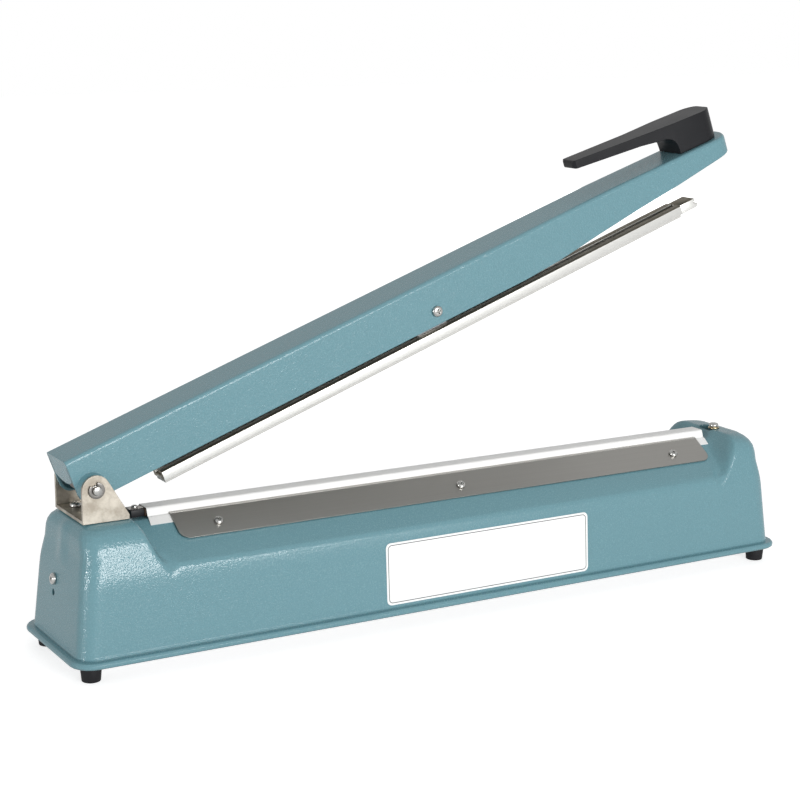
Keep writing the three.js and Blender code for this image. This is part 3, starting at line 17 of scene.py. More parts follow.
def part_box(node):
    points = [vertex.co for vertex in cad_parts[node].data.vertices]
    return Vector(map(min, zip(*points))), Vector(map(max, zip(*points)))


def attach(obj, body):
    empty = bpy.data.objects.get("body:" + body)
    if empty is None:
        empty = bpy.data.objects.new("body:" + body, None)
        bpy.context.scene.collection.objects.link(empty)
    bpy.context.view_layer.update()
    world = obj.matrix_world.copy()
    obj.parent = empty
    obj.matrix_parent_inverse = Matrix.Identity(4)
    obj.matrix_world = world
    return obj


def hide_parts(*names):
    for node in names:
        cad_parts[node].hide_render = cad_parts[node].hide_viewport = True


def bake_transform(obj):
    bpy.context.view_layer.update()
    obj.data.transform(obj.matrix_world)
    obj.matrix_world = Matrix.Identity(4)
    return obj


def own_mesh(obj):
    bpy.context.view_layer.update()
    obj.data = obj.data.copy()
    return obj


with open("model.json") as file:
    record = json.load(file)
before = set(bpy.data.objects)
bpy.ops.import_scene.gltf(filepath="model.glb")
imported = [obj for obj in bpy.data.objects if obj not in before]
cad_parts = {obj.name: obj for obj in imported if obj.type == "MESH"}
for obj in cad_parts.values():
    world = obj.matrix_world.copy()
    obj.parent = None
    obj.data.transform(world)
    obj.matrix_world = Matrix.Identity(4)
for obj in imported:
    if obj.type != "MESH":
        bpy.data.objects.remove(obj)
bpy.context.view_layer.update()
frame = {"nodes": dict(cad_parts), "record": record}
MM = 0.001

# %% [markdown]
# ## Writing materials as expressions
# A procedural material is a small calculation: noise makes a height, the height makes a bump, and masks mix
# colours. Node trees are hard to read when each link is made by hand. So one class wraps a socket, and plus,
# minus, times and the rest add Math nodes. A second class holds one material and makes every other node.

# %% Sockets that can be calculated with
def math_node(operation, swapped=False):
    """A method that adds one Math node; swapped, the socket itself comes last."""
    def method(self, *others):
        values = (*others, self) if swapped else (self, *others)
        return self.finish.node("ShaderNodeMath", {"operation": operation}, dict(enumerate(values)))
    return method


class Wire:
    """A socket of a material; arithmetic on it adds Math nodes."""

    def __init__(self, finish, socket):
        self.finish = finish
        self.socket = socket

    __add__ = __radd__ = math_node("ADD")
    __sub__, __rsub__ = math_node("SUBTRACT"), math_node("SUBTRACT", swapped=True)
    __mul__ = __rmul__ = math_node("MULTIPLY")
    __truediv__, __pow__, __abs__ = math_node("DIVIDE"), math_node("POWER"), math_node("ABSOLUTE")
    at_least, at_most = math_node("MAXIMUM"), math_node("MINIMUM")
    fraction, angle_from = math_node("FRACT"), math_node("ARCTAN2")

    def over(self, limit, width):
        """0 below the limit and 1 above it, with a soft step."""
        values = {"Value": self, "From Min": limit - width, "From Max": limit + width}
        return self.finish.node("ShaderNodeMapRange", {"interpolation_type": "SMOOTHSTEP"}, values)


class Finish:
    """One material, with a Principled shader that its node() method feeds."""

    def __init__(self, name, colour, roughness, metallic=0.0, **sockets):
        self.material = bpy.data.materials.new(name)
        self.material.use_nodes = True
        self.tree = self.material.node_tree
        self.shader = self.tree.nodes["Principled BSDF"]
        self.feed(Base_Color=(*colour, 1), Roughness=roughness, Metallic=metallic, **sockets)

    def set(self, node, values):
        for name, value in values.items():
            socket = node.inputs[name]
            if isinstance(value, Wire):
                self.tree.links.new(value.socket, socket)
            elif isinstance(value, (tuple, list)) and len(value) == 3 and socket.type == "RGBA":
                socket.default_value = (*value, 1)
            else:
                socket.default_value = value

    def node(self, kind, settings=None, values=None, output=0):
        made = self.tree.nodes.new(kind)
        for name, value in (settings or {}).items():
            if name == "stops":
                ramp = made.color_ramp
                while len(ramp.elements) < len(value):
                    ramp.elements.new(1)
                for element, (position, colour) in zip(ramp.elements, value):
                    element.position = position
                    element.color = (*colour, 1)
            else:
                setattr(made, name, value)
        self.set(made, values or {})
        return Wire(self, made.outputs[output])

    def feed(self, **inputs):
        self.set(self.shader, {name.replace("_", " "): value for name, value in inputs.items()})

    def place(self):
        return self.node("ShaderNodeTexCoord", output="Object")

    def stretched(self, scale, turn=(0, 0, 0), move=(0, 0, 0)):
        values = {"Vector": self.place(), "Scale": scale, "Rotation": turn, "Location": move}
        return self.node("ShaderNodeMapping", {"vector_type": "POINT"}, values)

    def noise(self, vector, scale, detail=2.0, roughness=0.5):
        values = {"Vector": vector, "Scale": scale, "Detail": detail, "Roughness": roughness}
        return self.node("ShaderNodeTexNoise", {}, values, "Fac")

    def waves(self, direction, scale, distortion, detail=2):
        settings = {"wave_type": "BANDS", "bands_direction": direction}
        values = {"Vector": self.place(), "Scale": scale, "Distortion": distortion, "Detail": detail}
        return self.node("ShaderNodeTexWave", settings, values, "Fac")

    def along_x_and_z(self):
        parts = self.node("ShaderNodeSeparateXYZ", {}, {"Vector": self.place()}).socket.node.outputs
        return Wire(self, parts["X"]), Wire(self, parts["Z"])

    def mix(self, factor, first, second):
        values = {0: factor, 6: first, 7: second}
        return self.node("ShaderNodeMix", {"data_type": "RGBA"}, values, 2)

    def bump(self, height, distance, strength=1.0, normal=None):
        values = {"Height": height, "Distance": distance, "Strength": strength}
        if normal is not None:
            values["Normal"] = normal
        return self.node("ShaderNodeBump", {}, values)

    def soft_edges(self, radius):
        return self.node("ShaderNodeBevel", {"samples": 6}, {"Radius": radius})


print("material helpers ready")

# %% [markdown]
# ## Hammered enamel
# The base and the arm are painted with a teal grey hammered enamel. While such paint dries it draws together
# into a fine ripple, about a millimetre from crest to crest, with a metallic flake floating in it. A noise gives
# the ripple, and a Voronoi pattern of the same size deepens it and darkens the paint a little round each cell.
# A second noise sets small dull flecks in the gloss, which break a highlight up into grains.

# %% Enamel
def hammered_enamel(name, base, rim, flake):
    finish = Finish(name, base, 0.14, Specular_IOR_Level=0.5)
    place = finish.place()
    warped = finish.node("ShaderNodeVectorMath", {"operation": "ADD"}, {
        0: place,
        1: finish.node("ShaderNodeVectorMath", {"operation": "SCALE"}, {
            0: finish.node("ShaderNodeTexNoise", {}, {"Vector": place, "Scale": 420}, "Color"), "Scale": 0.0012}),
    })
    cells = finish.node("ShaderNodeTexVoronoi", {"feature": "SMOOTH_F1"}, {
        "Vector": warped, "Scale": 950, "Smoothness": 0.4, "Randomness": 1})
    flakes = finish.noise(place, 2600, 1)
    wide = finish.noise(place, 18, 3)
    rims = cells.over(0.55, 0.25)
    paint = finish.mix(rims * 0.16, base, rim)
    paint = finish.mix(flakes.over(0.62, 0.08) * 0.1, paint, flake)
    paint = finish.mix((wide - 0.5) * 0.1 + 0.05, paint, rim)
    ripple = finish.noise(place, 850, 2)
    height = ripple - cells * 0.35
    normal = finish.bump(height, 0.00019, 0.9, finish.soft_edges(0.0009))
    dull = finish.noise(place, 1250, 1.5).over(0.58, 0.06)
    finish.feed(Base_Color=paint, Roughness=0.08 + dull * 0.26 + wide * 0.03, Normal=normal)
    return finish.material


enamel = hammered_enamel("hammered_enamel", (0.144, 0.296, 0.340), (0.098, 0.215, 0.25), (0.40, 0.55, 0.60))
print("enamel nodes:", len(enamel.node_tree.nodes))

# %% [markdown]
# ## Metals
# The press plates are brushed along their length, so their grain is a noise that is stretched along X. The
# plated pieces have no grain: a faint cloudiness of the plating and some fine scratches are enough. The press
# bar is an extrusion, whose die leaves straight lines along it.

# %% Metal finishes
def brushed(name, colour, roughness, stretch, grain, tint):
    finish = Finish(name, colour, roughness, 1.0)
    lines = finish.noise(finish.stretched(stretch), 1.0, 4, 0.65)
    clouds = finish.noise(finish.place(), 22, 3)
    metal = finish.mix(lines.over(0.5, 0.3) * 0.5 + clouds * 0.25, colour, tint)
    rough = roughness + (lines - 0.5) * grain + (clouds - 0.5) * 0.1
    normal = finish.bump(lines, 0.00002, 0.6, finish.soft_edges(0.0003))
    finish.feed(Base_Color=metal, Roughness=rough, Normal=normal)
    return finish.material


def plated(name, colour, roughness, tint, edge=0.00025):
    finish = Finish(name, colour, roughness, 1.0)
    clouds = finish.noise(finish.place(), 90, 4, 0.65)
    scratches = finish.noise(finish.stretched((900, 160, 420), (0.4, 0.7, 0.2)), 1.0, 2, 0.7)
    metal = finish.mix(clouds.over(0.5, 0.2), colour, tint)
    rough = roughness + (clouds - 0.5) * 0.16 + scratches.over(0.66, 0.05) * 0.12
    normal = finish.bump(scratches + clouds * 0.5, 0.000012, 0.5, finish.soft_edges(edge))
    finish.feed(Base_Color=metal, Roughness=rough, Normal=normal)
    return finish.material


plate_steel = brushed("brushed_plate", (0.44, 0.43, 0.405), 0.36, (6, 2400, 2400), 0.12, (0.38, 0.37, 0.35))
bracket_nickel = plated("satin_nickel", (0.56, 0.52, 0.45), 0.4, (0.33, 0.295, 0.245), 0.0004)
zinc = plated("bright_zinc", (0.62, 0.62, 0.60), 0.22, (0.46, 0.455, 0.44))
spring_steel = plated("oiled_spring_steel", (0.30, 0.29, 0.27), 0.33, (0.2, 0.19, 0.18))
sheet_zinc = plated("sheet_zinc", (0.55, 0.56, 0.57), 0.4, (0.42, 0.43, 0.45), 0.0003)
strip_metal = brushed("element_strip", (0.45, 0.43, 0.40), 0.35, (8, 3000, 3000), 0.2, (0.33, 0.31, 0.29))
print("metal finishes ready")

# %% [markdown]
# ## Plastics, rubber, cloth and card
# Moulded plastic shows the spark-eroded grain of its mould, a very fine bump. Rubber has the same grain with
# more scatter in its gloss. The cloth is glass weave under a white fluoropolymer skin: two crossed waves give
# the threads, half a millimetre apart. The label is a card with one thin dark line round it, drawn by measuring
# how far each point lies from a rounded rectangle.

# %% Non-metal finishes
def moulded(name, colour, roughness, worn, grain=1900, depth=0.00003, edge=0.0004):
    finish = Finish(name, colour, roughness, Specular_IOR_Level=0.25)
    place = finish.place()
    fine = finish.noise(place, grain, 2)
    wide = finish.noise(place, 40, 3)
    paint = finish.mix(wide.over(0.55, 0.25) * 0.6 + fine * 0.15, colour, worn)
    normal = finish.bump(fine, depth, 0.8, finish.soft_edges(edge))
    finish.feed(Base_Color=paint, Roughness=roughness + (fine - 0.5) * 0.15 + (wide - 0.5) * 0.12, Normal=normal)
    return finish.material


def glass_cloth(name):
    finish = Finish(name, (0.86, 0.86, 0.84), 0.5, Sheen_Weight=0.1)
    weave = finish.waves("X", 630, 0.3, 1).at_least(finish.waves("Y", 630, 0.3, 1))
    wear = finish.noise(finish.stretched((14, 160, 160)), 1.0, 3)
    cloth = finish.mix(weave * 0.35, (0.90, 0.90, 0.885), (0.95, 0.95, 0.94))
    cloth = finish.mix(wear.over(0.58, 0.12) * 0.2, cloth, (0.84, 0.83, 0.80))
    normal = finish.bump(weave + wear * 0.6, 0.00005, 0.6)
    finish.feed(Base_Color=cloth, Roughness=0.45 + weave * 0.1, Normal=normal)
    return finish.material


def bordered_card(name, centre, half_length, half_height, corner, inset, line):
    finish = Finish(name, (0.88, 0.885, 0.88), 0.42, Specular_IOR_Level=0.45)
    across, up = finish.along_x_and_z()
    far_x = abs(across - centre[0]) - (half_length - inset - corner)
    far_z = abs(up - centre[1]) - (half_height - inset - corner)
    outside = (far_x.at_least(0) ** 2 + far_z.at_least(0) ** 2) ** 0.5
    distance = abs(outside + far_x.at_least(far_z).at_most(0) - corner)
    border = 1 - distance.over(line / 2, 0.00006)
    grain = finish.noise(finish.place(), 500, 3)
    card = finish.mix(grain * 0.2, (0.93, 0.935, 0.93), (0.88, 0.885, 0.88))
    normal = finish.bump(grain, 0.00002, 0.4)
    card = finish.mix(border, card, (0.03, 0.032, 0.035))
    finish.feed(Base_Color=card, Roughness=0.38 + grain * 0.1, Normal=normal)
    return finish.material


black_plastic = moulded("black_plastic", (0.010, 0.0102, 0.012), 0.4, (0.018, 0.018, 0.02))
handle_plastic = moulded("handle_plastic", (0.009, 0.0095, 0.0115), 0.36, (0.015, 0.0155, 0.018), 1500, 0.00004,
                         0.0008)
foot_rubber = moulded("foot_rubber", (0.010, 0.010, 0.012), 0.62, (0.022, 0.022, 0.024), 1100, 0.00007)
grey_silicone = moulded("grey_silicone", (0.60, 0.595, 0.57), 0.55, (0.52, 0.51, 0.49), 1400, 0.00003)
brown_board = moulded("brown_board", (0.055, 0.032, 0.02), 0.55, (0.085, 0.05, 0.03), 900, 0.00006)
cloth_white = glass_cloth("white_glass_cloth")
print("plastic, rubber and cloth ready")


def laminated(name, colour, seam):
    finish = Finish(name, colour, 0.5, 0.85)
    sheets = finish.waves("Y", 300, 0.2)
    rust = finish.noise(finish.place(), 120, 4)
    metal = finish.mix(sheets.over(0.3, 0.15), seam, colour)
    finish.feed(Base_Color=finish.mix(rust.over(0.6, 0.1) * 0.3, metal, (0.16, 0.09, 0.05)),
                Roughness=0.42 + rust * 0.2, Normal=finish.bump(sheets, 0.00008, 0.8))
    return finish.material


def wound_tape(name, colour, seam):
    finish = Finish(name, colour, 0.35, Specular_IOR_Level=0.6)
    laps = finish.waves("Z", 28, 0.6)
    dirt = finish.noise(finish.place(), 60, 3)
    tape = finish.mix(laps.over(0.12, 0.08), seam, colour)
    finish.feed(Base_Color=finish.mix(dirt * 0.3, tape, seam), Roughness=0.3 + dirt * 0.2,
                Normal=finish.bump(laps, 0.0001, 0.6, finish.soft_edges(0.0008)))
    return finish.material


def lacquered_board(name, colour, track):
    finish = Finish(name, colour, 0.32, Coat_Roughness=0.1)
    cells = finish.node("ShaderNodeTexVoronoi", {"feature": "F1", "distance": "CHEBYCHEV"}, {
        "Vector": finish.place(), "Scale": 240})
    tracks = 1 - cells.over(0.28, 0.03)
    wide = finish.noise(finish.place(), 80, 2)
    finish.feed(Base_Color=finish.mix(tracks * 0.6, colour, track), Roughness=0.28 + wide * 0.15,
                Normal=finish.bump(tracks, 0.00004, 0.6), Coat_Weight=0.3)
    return finish.material


def clear_red(name):
    finish = Finish(name, (0.62, 0.02, 0.012), 0.08, Transmission_Weight=0.35, IOR=1.49, Coat_Roughness=0.05)
    facets = finish.node("ShaderNodeTexVoronoi", {"feature": "F1"}, {"Vector": finish.place(), "Scale": 900})
    wide = finish.noise(finish.place(), 200, 2)
    finish.feed(Base_Color=finish.mix(wide * 0.3, (0.62, 0.02, 0.012), (0.4, 0.01, 0.008)),
                Roughness=0.06 + wide * 0.06, Normal=finish.bump(facets, 0.00003, 0.4), Coat_Weight=0.5)
    return finish.material


def ticked_knob(name, centre_x, centre_z):
    """Black plastic whose skirt carries plain white ticks, thirty degrees apart."""
    finish = Finish(name, (0.022, 0.022, 0.026), 0.38)
    across, up = finish.along_x_and_z()
    across, up = across - centre_x, up - centre_z
    radius = (across ** 2 + up ** 2) ** 0.5
    turn = up.angle_from(across) / math.radians(30)
    near = abs(turn.fraction() - 0.5) * radius * math.radians(30)
    edge = radius * math.radians(15) - near
    ticks = (1 - edge.over(0.0003, 0.00006)) * radius.over(0.0112, 0.00006) * (1 - radius.over(0.0129, 0.00006))
    fine = finish.noise(finish.place(), 1900, 2)
    finish.feed(Base_Color=finish.mix(ticks, (0.022, 0.022, 0.026), (0.8, 0.8, 0.78)),
                Roughness=0.34 + fine * 0.14, Normal=finish.bump(fine, 0.00003, 0.7, finish.soft_edges(0.0003)))
    return finish.material


bar_metal = brushed("anodised_bar", (0.84, 0.84, 0.815), 0.42, (5, 1800, 1800), 0.12, (0.78, 0.775, 0.745))
# A darker brown copy of the bar metal: the bar's own warm tone, with painted shade and a painted dark reflection
# of the arm above it.
bar_khaki_and_painted_shade = plated("khaki_anodising_and_painted_shade", (0.30, 0.265, 0.205), 0.5, (0.22, 0.19, 0.14))
brass = plated("nickelled_brass", (0.62, 0.53, 0.36), 0.24, (0.42, 0.34, 0.21))
knob_plastic = ticked_knob("ticked_knob", 0.06, 0.042)
white_mark = moulded("white_mark", (0.8, 0.8, 0.78), 0.4, (0.7, 0.7, 0.68))
card = bordered_card("bordered_card", (0.0232, 0.0382), 0.0805, 0.021, 0.0026, 0.0016, 0.0005)
core_sheets = laminated("core_sheets", (0.30, 0.31, 0.33), (0.08, 0.08, 0.09))
coil_tape = wound_tape("coil_tape", (0.62, 0.42, 0.05), (0.34, 0.2, 0.02))
board_green = lacquered_board("board_green", (0.01, 0.11, 0.045), (0.05, 0.22, 0.10))
red_lens = clear_red("clear_red_lens")
print("inner and rear finishes ready")

# %% [markdown]
# ## Pieces that keep the CAD shape
# The pressed arm and the sheet metal are right as the CAD model has them, but its meshes have a separate corner
# for each face. A copy with the corners joined can be shaded smooth, with creases only where two faces meet at
# a clear angle. The rounding of those creases then comes from the material.

# %% Smooth copies of CAD nodes
BODY_OF = {node: body for body, nodes in frame["record"]["behaviour"]["bodies"].items() for node in nodes}


def in_scene(name, data):
    made = bpy.data.objects.new(name, data)
    bpy.context.scene.collection.objects.link(made)
    return made


def linked(name, mesh):
    """Puts a bmesh in the scene as an object and frees it."""
    data = bpy.data.meshes.new(name)
    mesh.to_mesh(data)
    mesh.free()
    return in_scene(name, data)


def finished_piece(name, mesh, material, replaced, crease=30, rides=True):
    """Puts a bmesh in the scene as one shaded piece that stands for CAD nodes and rides on their body."""
    bmesh.ops.recalc_face_normals(mesh, faces=mesh.faces)
    for edge in mesh.edges:
        edge.smooth = len(edge.link_faces) == 2 and edge.calc_face_angle() < math.radians(crease)
    for face in mesh.faces:
        face.smooth = True
    piece = linked(name, mesh)
    piece.data.materials.append(material)
    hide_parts(*replaced)
    if rides:
        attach(piece, BODY_OF[replaced[0]])
    return piece


def joined_copy(node):
    """A bmesh of a CAD node whose corners are joined."""
    mesh = bmesh.new()
    mesh.from_mesh(frame["nodes"][node].data)
    bmesh.ops.remove_doubles(mesh, verts=mesh.verts, dist=0.000002)
    return mesh


def box_difference(piece, node):
    """How far the box of a piece differs from that of a CAD node, in millimetres."""
    points = [corner.co for corner in piece.data.vertices]
    mine = [[end(point[i] for point in points) for i in range(3)] for end in (min, max)]
    off = max(abs(a - b) for my, cad in zip(mine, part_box(node)) for a, b in zip(my, cad))
    return round(off / MM, 2)


def even_shading(piece):
    weights = piece.modifiers.new("Even shading", "WEIGHTED_NORMAL")
    weights.keep_sharp = True
    weights.weight = 60


def smooth_copy(node, material, crease):
    return finished_piece(node + "_shell", joined_copy(node), material, (node,), crease)


def flattened(mesh, degrees):
    """Takes out the lines between faces that lie in one plane."""
    bmesh.ops.dissolve_limit(mesh, angle_limit=math.radians(degrees), verts=mesh.verts, edges=mesh.edges)
    return mesh


even_shading(smooth_copy("arm", enamel, 32))
SHAPED = {
    "hinge_bracket": bracket_nickel, "front_plate": plate_steel, "rear_plate": plate_steel,
    "bar_hanger": sheet_zinc, "switch_bracket": sheet_zinc, "plunger_bush": brown_board,
    "timer_pot": black_plastic, "bar_spacer_front": zinc, "bar_spacer_rear": zinc,
}
for node, material in SHAPED.items():
    smooth_copy(node, material, 40)
print("smooth copies:", 1 + len(SHAPED))

# %% [markdown]
# ## Turned pieces
# Screws, feet, the hinge pin, the plunger, the knob, the lens and the gland are all bodies of revolution. A
# profile of radius and height is drawn once and turned about its axis. Its sharp rings are then bevelled, so that
# each edge catches a thin line of light. The cross recess of a screw is cut with a tapered cross, as the punch
# that makes the real one is tapered.

# %% Turned shapes, bevels and cuts
def turned(profile, steps=48):
    """A solid of revolution about Z, from (radius, height) pairs in millimetres."""
    mesh = bmesh.new()
    corners = [mesh.verts.new((radius * MM, 0, height * MM)) for radius, height in profile]
    edges = [mesh.edges.new(pair) for pair in zip(corners, corners[1:])]
    if profile[0][0] > 0 and profile[-1][0] > 0:
        edges.append(mesh.edges.new((corners[-1], corners[0])))
    bmesh.ops.spin(mesh, geom=corners + edges, cent=(0, 0, 0), axis=(0, 0, 1), angle=math.tau, steps=steps,
                   use_merge=True)
    bmesh.ops.remove_doubles(mesh, verts=mesh.verts, dist=0.000001)
    bmesh.ops.recalc_face_normals(mesh, faces=mesh.faces)
    return mesh


def bevelled(mesh, width, segments=2, angle=35):
    """Rounds the edges of a mesh that are sharper than the angle; the width is in millimetres."""
    sharp = [edge for edge in mesh.edges
             if len(edge.link_faces) == 2 and edge.calc_face_angle() > math.radians(angle)]
    bmesh.ops.bevel(mesh, geom=sharp, offset=width * MM, offset_type="OFFSET", segments=segments, profile=0.5,
                    affect="EDGES", clamp_overlap=True, material=-1)
    return mesh


def at(point):
    """The shift to a point in millimetres."""
    return Matrix.Translation(Vector(point) * MM)


def block(low, high):
    """A rectangular block between two corners in millimetres."""
    mesh = bmesh.new()
    size = [b - a for a, b in zip(low, high)]
    middle = [(a + b) / 2 for a, b in zip(low, high)]
    bmesh.ops.create_cube(mesh, size=1, matrix=at(middle) @ Matrix.Diagonal((*[s * MM for s in size], 1)))
    return mesh


def combined(mesh, tool, operation="DIFFERENCE"):
    """Cuts one mesh with another, or joins the two."""
    objects = [linked("work", shape) for shape in (mesh, tool)]
    cutter = objects[0].modifiers.new("Cut", "BOOLEAN")
    cutter.operation = operation
    cutter.solver = "EXACT"
    cutter.object = objects[1]
    whole = bmesh.new()
    whole.from_object(objects[0], bpy.context.evaluated_depsgraph_get())
    for item in objects:
        data = item.data
        bpy.data.objects.remove(item)
        bpy.data.meshes.remove(data)
    return whole


def placed(mesh, matrix):
    bmesh.ops.transform(mesh, matrix=matrix, verts=mesh.verts)
    return mesh


def standing(point, direction):
    """The place of a piece made along +Z: its origin at a point in millimetres, its axis along a direction."""
    return at(point) @ Vector(direction).to_track_quat("Z", "Y").to_matrix().to_4x4()


print("tools for turned pieces ready")

# %% [markdown]
# ## Where the pieces stand
# The arm is built level and then lifted, so its pieces need the lifted place: U runs along the arm from the
# hinge pin and V stands on it. The slopes of the base and its rear wall lean as well. These few places come from
# the same sizes as the CAD model.

# %% Places on the lifted arm, the slopes and the rear wall
PIVOT = Vector((-248.7, 0, 115.9))
ARM_ANGLE = math.radians(19.8)
SLOPE = math.atan(0.618169)
SIDE_DRAFT, END_DRAFT = 0.055, 0.1
SIDE_LEAN, END_LEAN = math.atan(SIDE_DRAFT), math.atan(END_DRAFT)
WALL_FOOT, WALL_HALF_LENGTH, WALL_HALF_WIDTH = 14.5, 270.3, 47.8
CROWN, RIDGE, RIDGE_HALF_WIDTH, PLATE_LOW_Y = 94.6, 89.2, 9, 28.4
FEET = (("front_left", -1, -1), ("front_right", 1, -1), ("rear_left", -1, 1), ("rear_right", 1, 1))
FOOT_X, FOOT_Y = 261.3, 38.8
PLUNGER_X, PLUNGER_Y = 246, -5.3


def on_arm(u, v, y=0.0):
    turn = Matrix.Rotation(-ARM_ANGLE, 3, "Y")
    return PIVOT + turn @ Vector((u, y, v))


def arm_direction(u, v):
    return Matrix.Rotation(-ARM_ANGLE, 3, "Y") @ Vector((u, 0, v))


def slope_point(up, out):
    low_z = RIDGE - (PLATE_LOW_Y - RIDGE_HALF_WIDTH) * math.tan(SLOPE)
    y = -PLATE_LOW_Y + up * math.cos(SLOPE) - out * math.sin(SLOPE)
    return y, low_z + up * math.sin(SLOPE) + out * math.cos(SLOPE)


def wall_y(height):
    return WALL_HALF_WIDTH - (height - WALL_FOOT) * SIDE_DRAFT


def end_x(height):
    return WALL_HALF_LENGTH - (height - WALL_FOOT) * END_DRAFT


def on_rear_wall(x, z):
    return standing((x, wall_y(z), z), (0, math.cos(SIDE_LEAN), math.sin(SIDE_LEAN)))


print("arm direction:", [round(v, 4) for v in arm_direction(1, 0)])

# %% [markdown]
# ## The casting, section by section
# A sand casting has no sharp edge. The wall leans back a little more above the shoulder line, each raised end
# has a full round to its flat top, and the cheeks run down to the slopes in soft curves. All of that is one rule:
# how far the outer surface lies from a line inside the casting, in any direction round it. Planes give simple
# distances, and the smaller or the larger of two distances, with a rounded change between them, joins them.

# %% Distances from the inner line
AXIS = 30.0
LEAN, LEAN_START, SHOULDER = 0.23, 62.0, 67.0
CHEEKS = ((-1, -212.5, 0.42), (1, 227.0, 0.5))  # side, place of the foot, run for each step up
LOW_RISE, LOW_BAND = math.radians(49), math.radians(7)


def softened(points, radius, steps=4):
    """A line whose inner corners are rounded; the radius is one number or one for each inner corner."""
    reaches = radius if isinstance(radius, (tuple, list)) else [radius] * len(points)
    line = [points[0]]
    for before, corner, after, wanted in zip(points, points[1:], points[2:], reaches):
        back, on = (before - corner).normalized(), (after - corner).normalized()
        reach = min(wanted, (before - corner).length / 2.2, (after - corner).length / 2.2)
        for step in range(steps + 1):
            share = step / steps
            a = corner + back * reach * (1 - share)
            b = corner + on * reach * share
            line.append(a.lerp(b, share))
    line.append(points[-1])
    return line


def eased(share):
    """A share that is held between 0 and 1 and starts and ends gently."""
    share = min(max(share, 0), 1)
    return share * share * (3 - 2 * share)


def soft_least(a, b, reach):
    mixed = max(reach - abs(a - b), 0) / reach
    return min(a, b) - mixed * mixed * reach / 4


def soft_most(a, b, reach):
    return -soft_least(-a, -b, reach)


def far_as(section, rise):
    """How far a half section lies from the inner line, along a ray that rises by an angle."""
    ray = Vector((math.cos(rise), math.sin(rise)))
    for near, far in zip(section, section[1:]):
        if math.atan2(far.y, far.x) >= rise - 0.000001:
            step = far - near
            return (near.x * step.y - near.y * step.x) / (ray.x * step.y - ray.y * step.x)
    return section[-1].y / ray.y


def wall_far(rise):
    return wall_y(AXIS) / (math.cos(rise) + SIDE_DRAFT * math.sin(rise))


def crown_point(height):
    return Vector((wall_y(LEAN_START) - (height - LEAN_START) * LEAN, height - AXIS))


crown = softened([crown_point(20), crown_point(CROWN), Vector((0, CROWN - AXIS))], 14.7, 14)
SLOPE_RUN = 60
valley = softened([Vector((RIDGE_HALF_WIDTH + SLOPE_RUN, RIDGE - SLOPE_RUN * math.tan(SLOPE) - AXIS)),
                   Vector((RIDGE_HALF_WIDTH, RIDGE - AXIS)), Vector((0, RIDGE - AXIS))], 0.6, 3)


def casting_far(x, rise):
    """How far the casting's outer surface lies from its inner line, at a place along it."""
    raised = far_as(crown, rise)
    hollow = far_as(valley, rise)
    inside = min((x - foot) * side for side, foot, lean in CHEEKS if side * x >= 0)
    for side, foot, lean in CHEEKS:
        if side * x >= 0:
            cheek = (SHOULDER + inside / lean - AXIS) / math.sin(rise)
            hollow = soft_most(hollow, cheek, 8 + 16 * eased((LOW_RISE - rise) / LOW_BAND))
    near = eased((1 - abs(inside - 4) / 14) * 2)
    upper = soft_least(raised, hollow, 3.5 + 7.5 * near)
    return soft_least(wall_far(rise), upper, 1.2)


print("crown and slope at 50 degrees:", round(casting_far(-250, math.radians(50)), 1),
      round(casting_far(10, math.radians(50)), 1))

# %% [markdown]
# The copy of the CAD casting has long faces, so it is first cut into strips where it will bend. Then each corner
# of its outer side slides along its ray until it lies on the new surface. Corners of the inner side only give
# way where the wall would get too thin. Round the upright corners the lean fades, since the end walls have none.

# %% Casting
SPINE, CAD_ROUND, UPRIGHT_CORNER = 246.0, 17, 12
CUT_FROM, MOVED_FROM, CROWN_FROM = 55, 56, 66
LEAST_WALL, LOW_MOVE, HIGH_MOVE = 2, 6.5, 2.3
TURN_END, TURN_BAND = 92, 40


def plan_reach(direction):
    """How far the foot of the lean lies from the spine's end, in a direction of the plan."""
    low, high = 0.0, 90.0
    half_length, half_width, radius = end_x(LEAN_START) - SPINE, wall_y(LEAN_START), UPRIGHT_CORNER
    for _ in range(30):
        middle = (low + high) / 2
        x = abs(direction.x) * middle - half_length + radius
        y = abs(direction.y) * middle - half_width + radius
        outside = math.hypot(max(x, 0), max(y, 0)) + min(max(x, y), 0) - radius
        low, high = (middle, high) if outside < 0 else (low, middle)
    return low


cad_crown = [Vector((wall_y(20), 20 - AXIS))]
for step in range(31):
    depth = CAD_ROUND * (1 - math.sin(math.pi / 2 * step / 30))
    inset = CAD_ROUND - math.sqrt(CAD_ROUND ** 2 - (CAD_ROUND - depth) ** 2)
    cad_crown.append(Vector((wall_y(CROWN - depth) - inset, CROWN - depth - AXIS)))
cad_crown.append(Vector((0, CROWN - AXIS)))


def cut_across(mesh, axis, places, above=0, left_of=None, right_of=None):
    """Cuts the faces over a height, and left of one place or right of another if they are given."""
    normal = Vector((axis == 0, axis == 1, axis == 2))

    def chosen(face):
        centre = face.calc_center_median() / MM
        left = left_of is not None and centre.x < left_of
        right = right_of is not None and centre.x > right_of
        return centre.z > above and (left or right or left_of is right_of is None)

    for place in places:
        faces = [face for face in mesh.faces if chosen(face)]
        edges = {edge for face in faces for edge in face.edges}
        corners = {corner for face in faces for corner in face.verts}
        bmesh.ops.bisect_plane(mesh, geom=faces + list(edges) + list(corners), dist=0.00001,
                               plane_co=normal * place * MM, plane_no=normal)


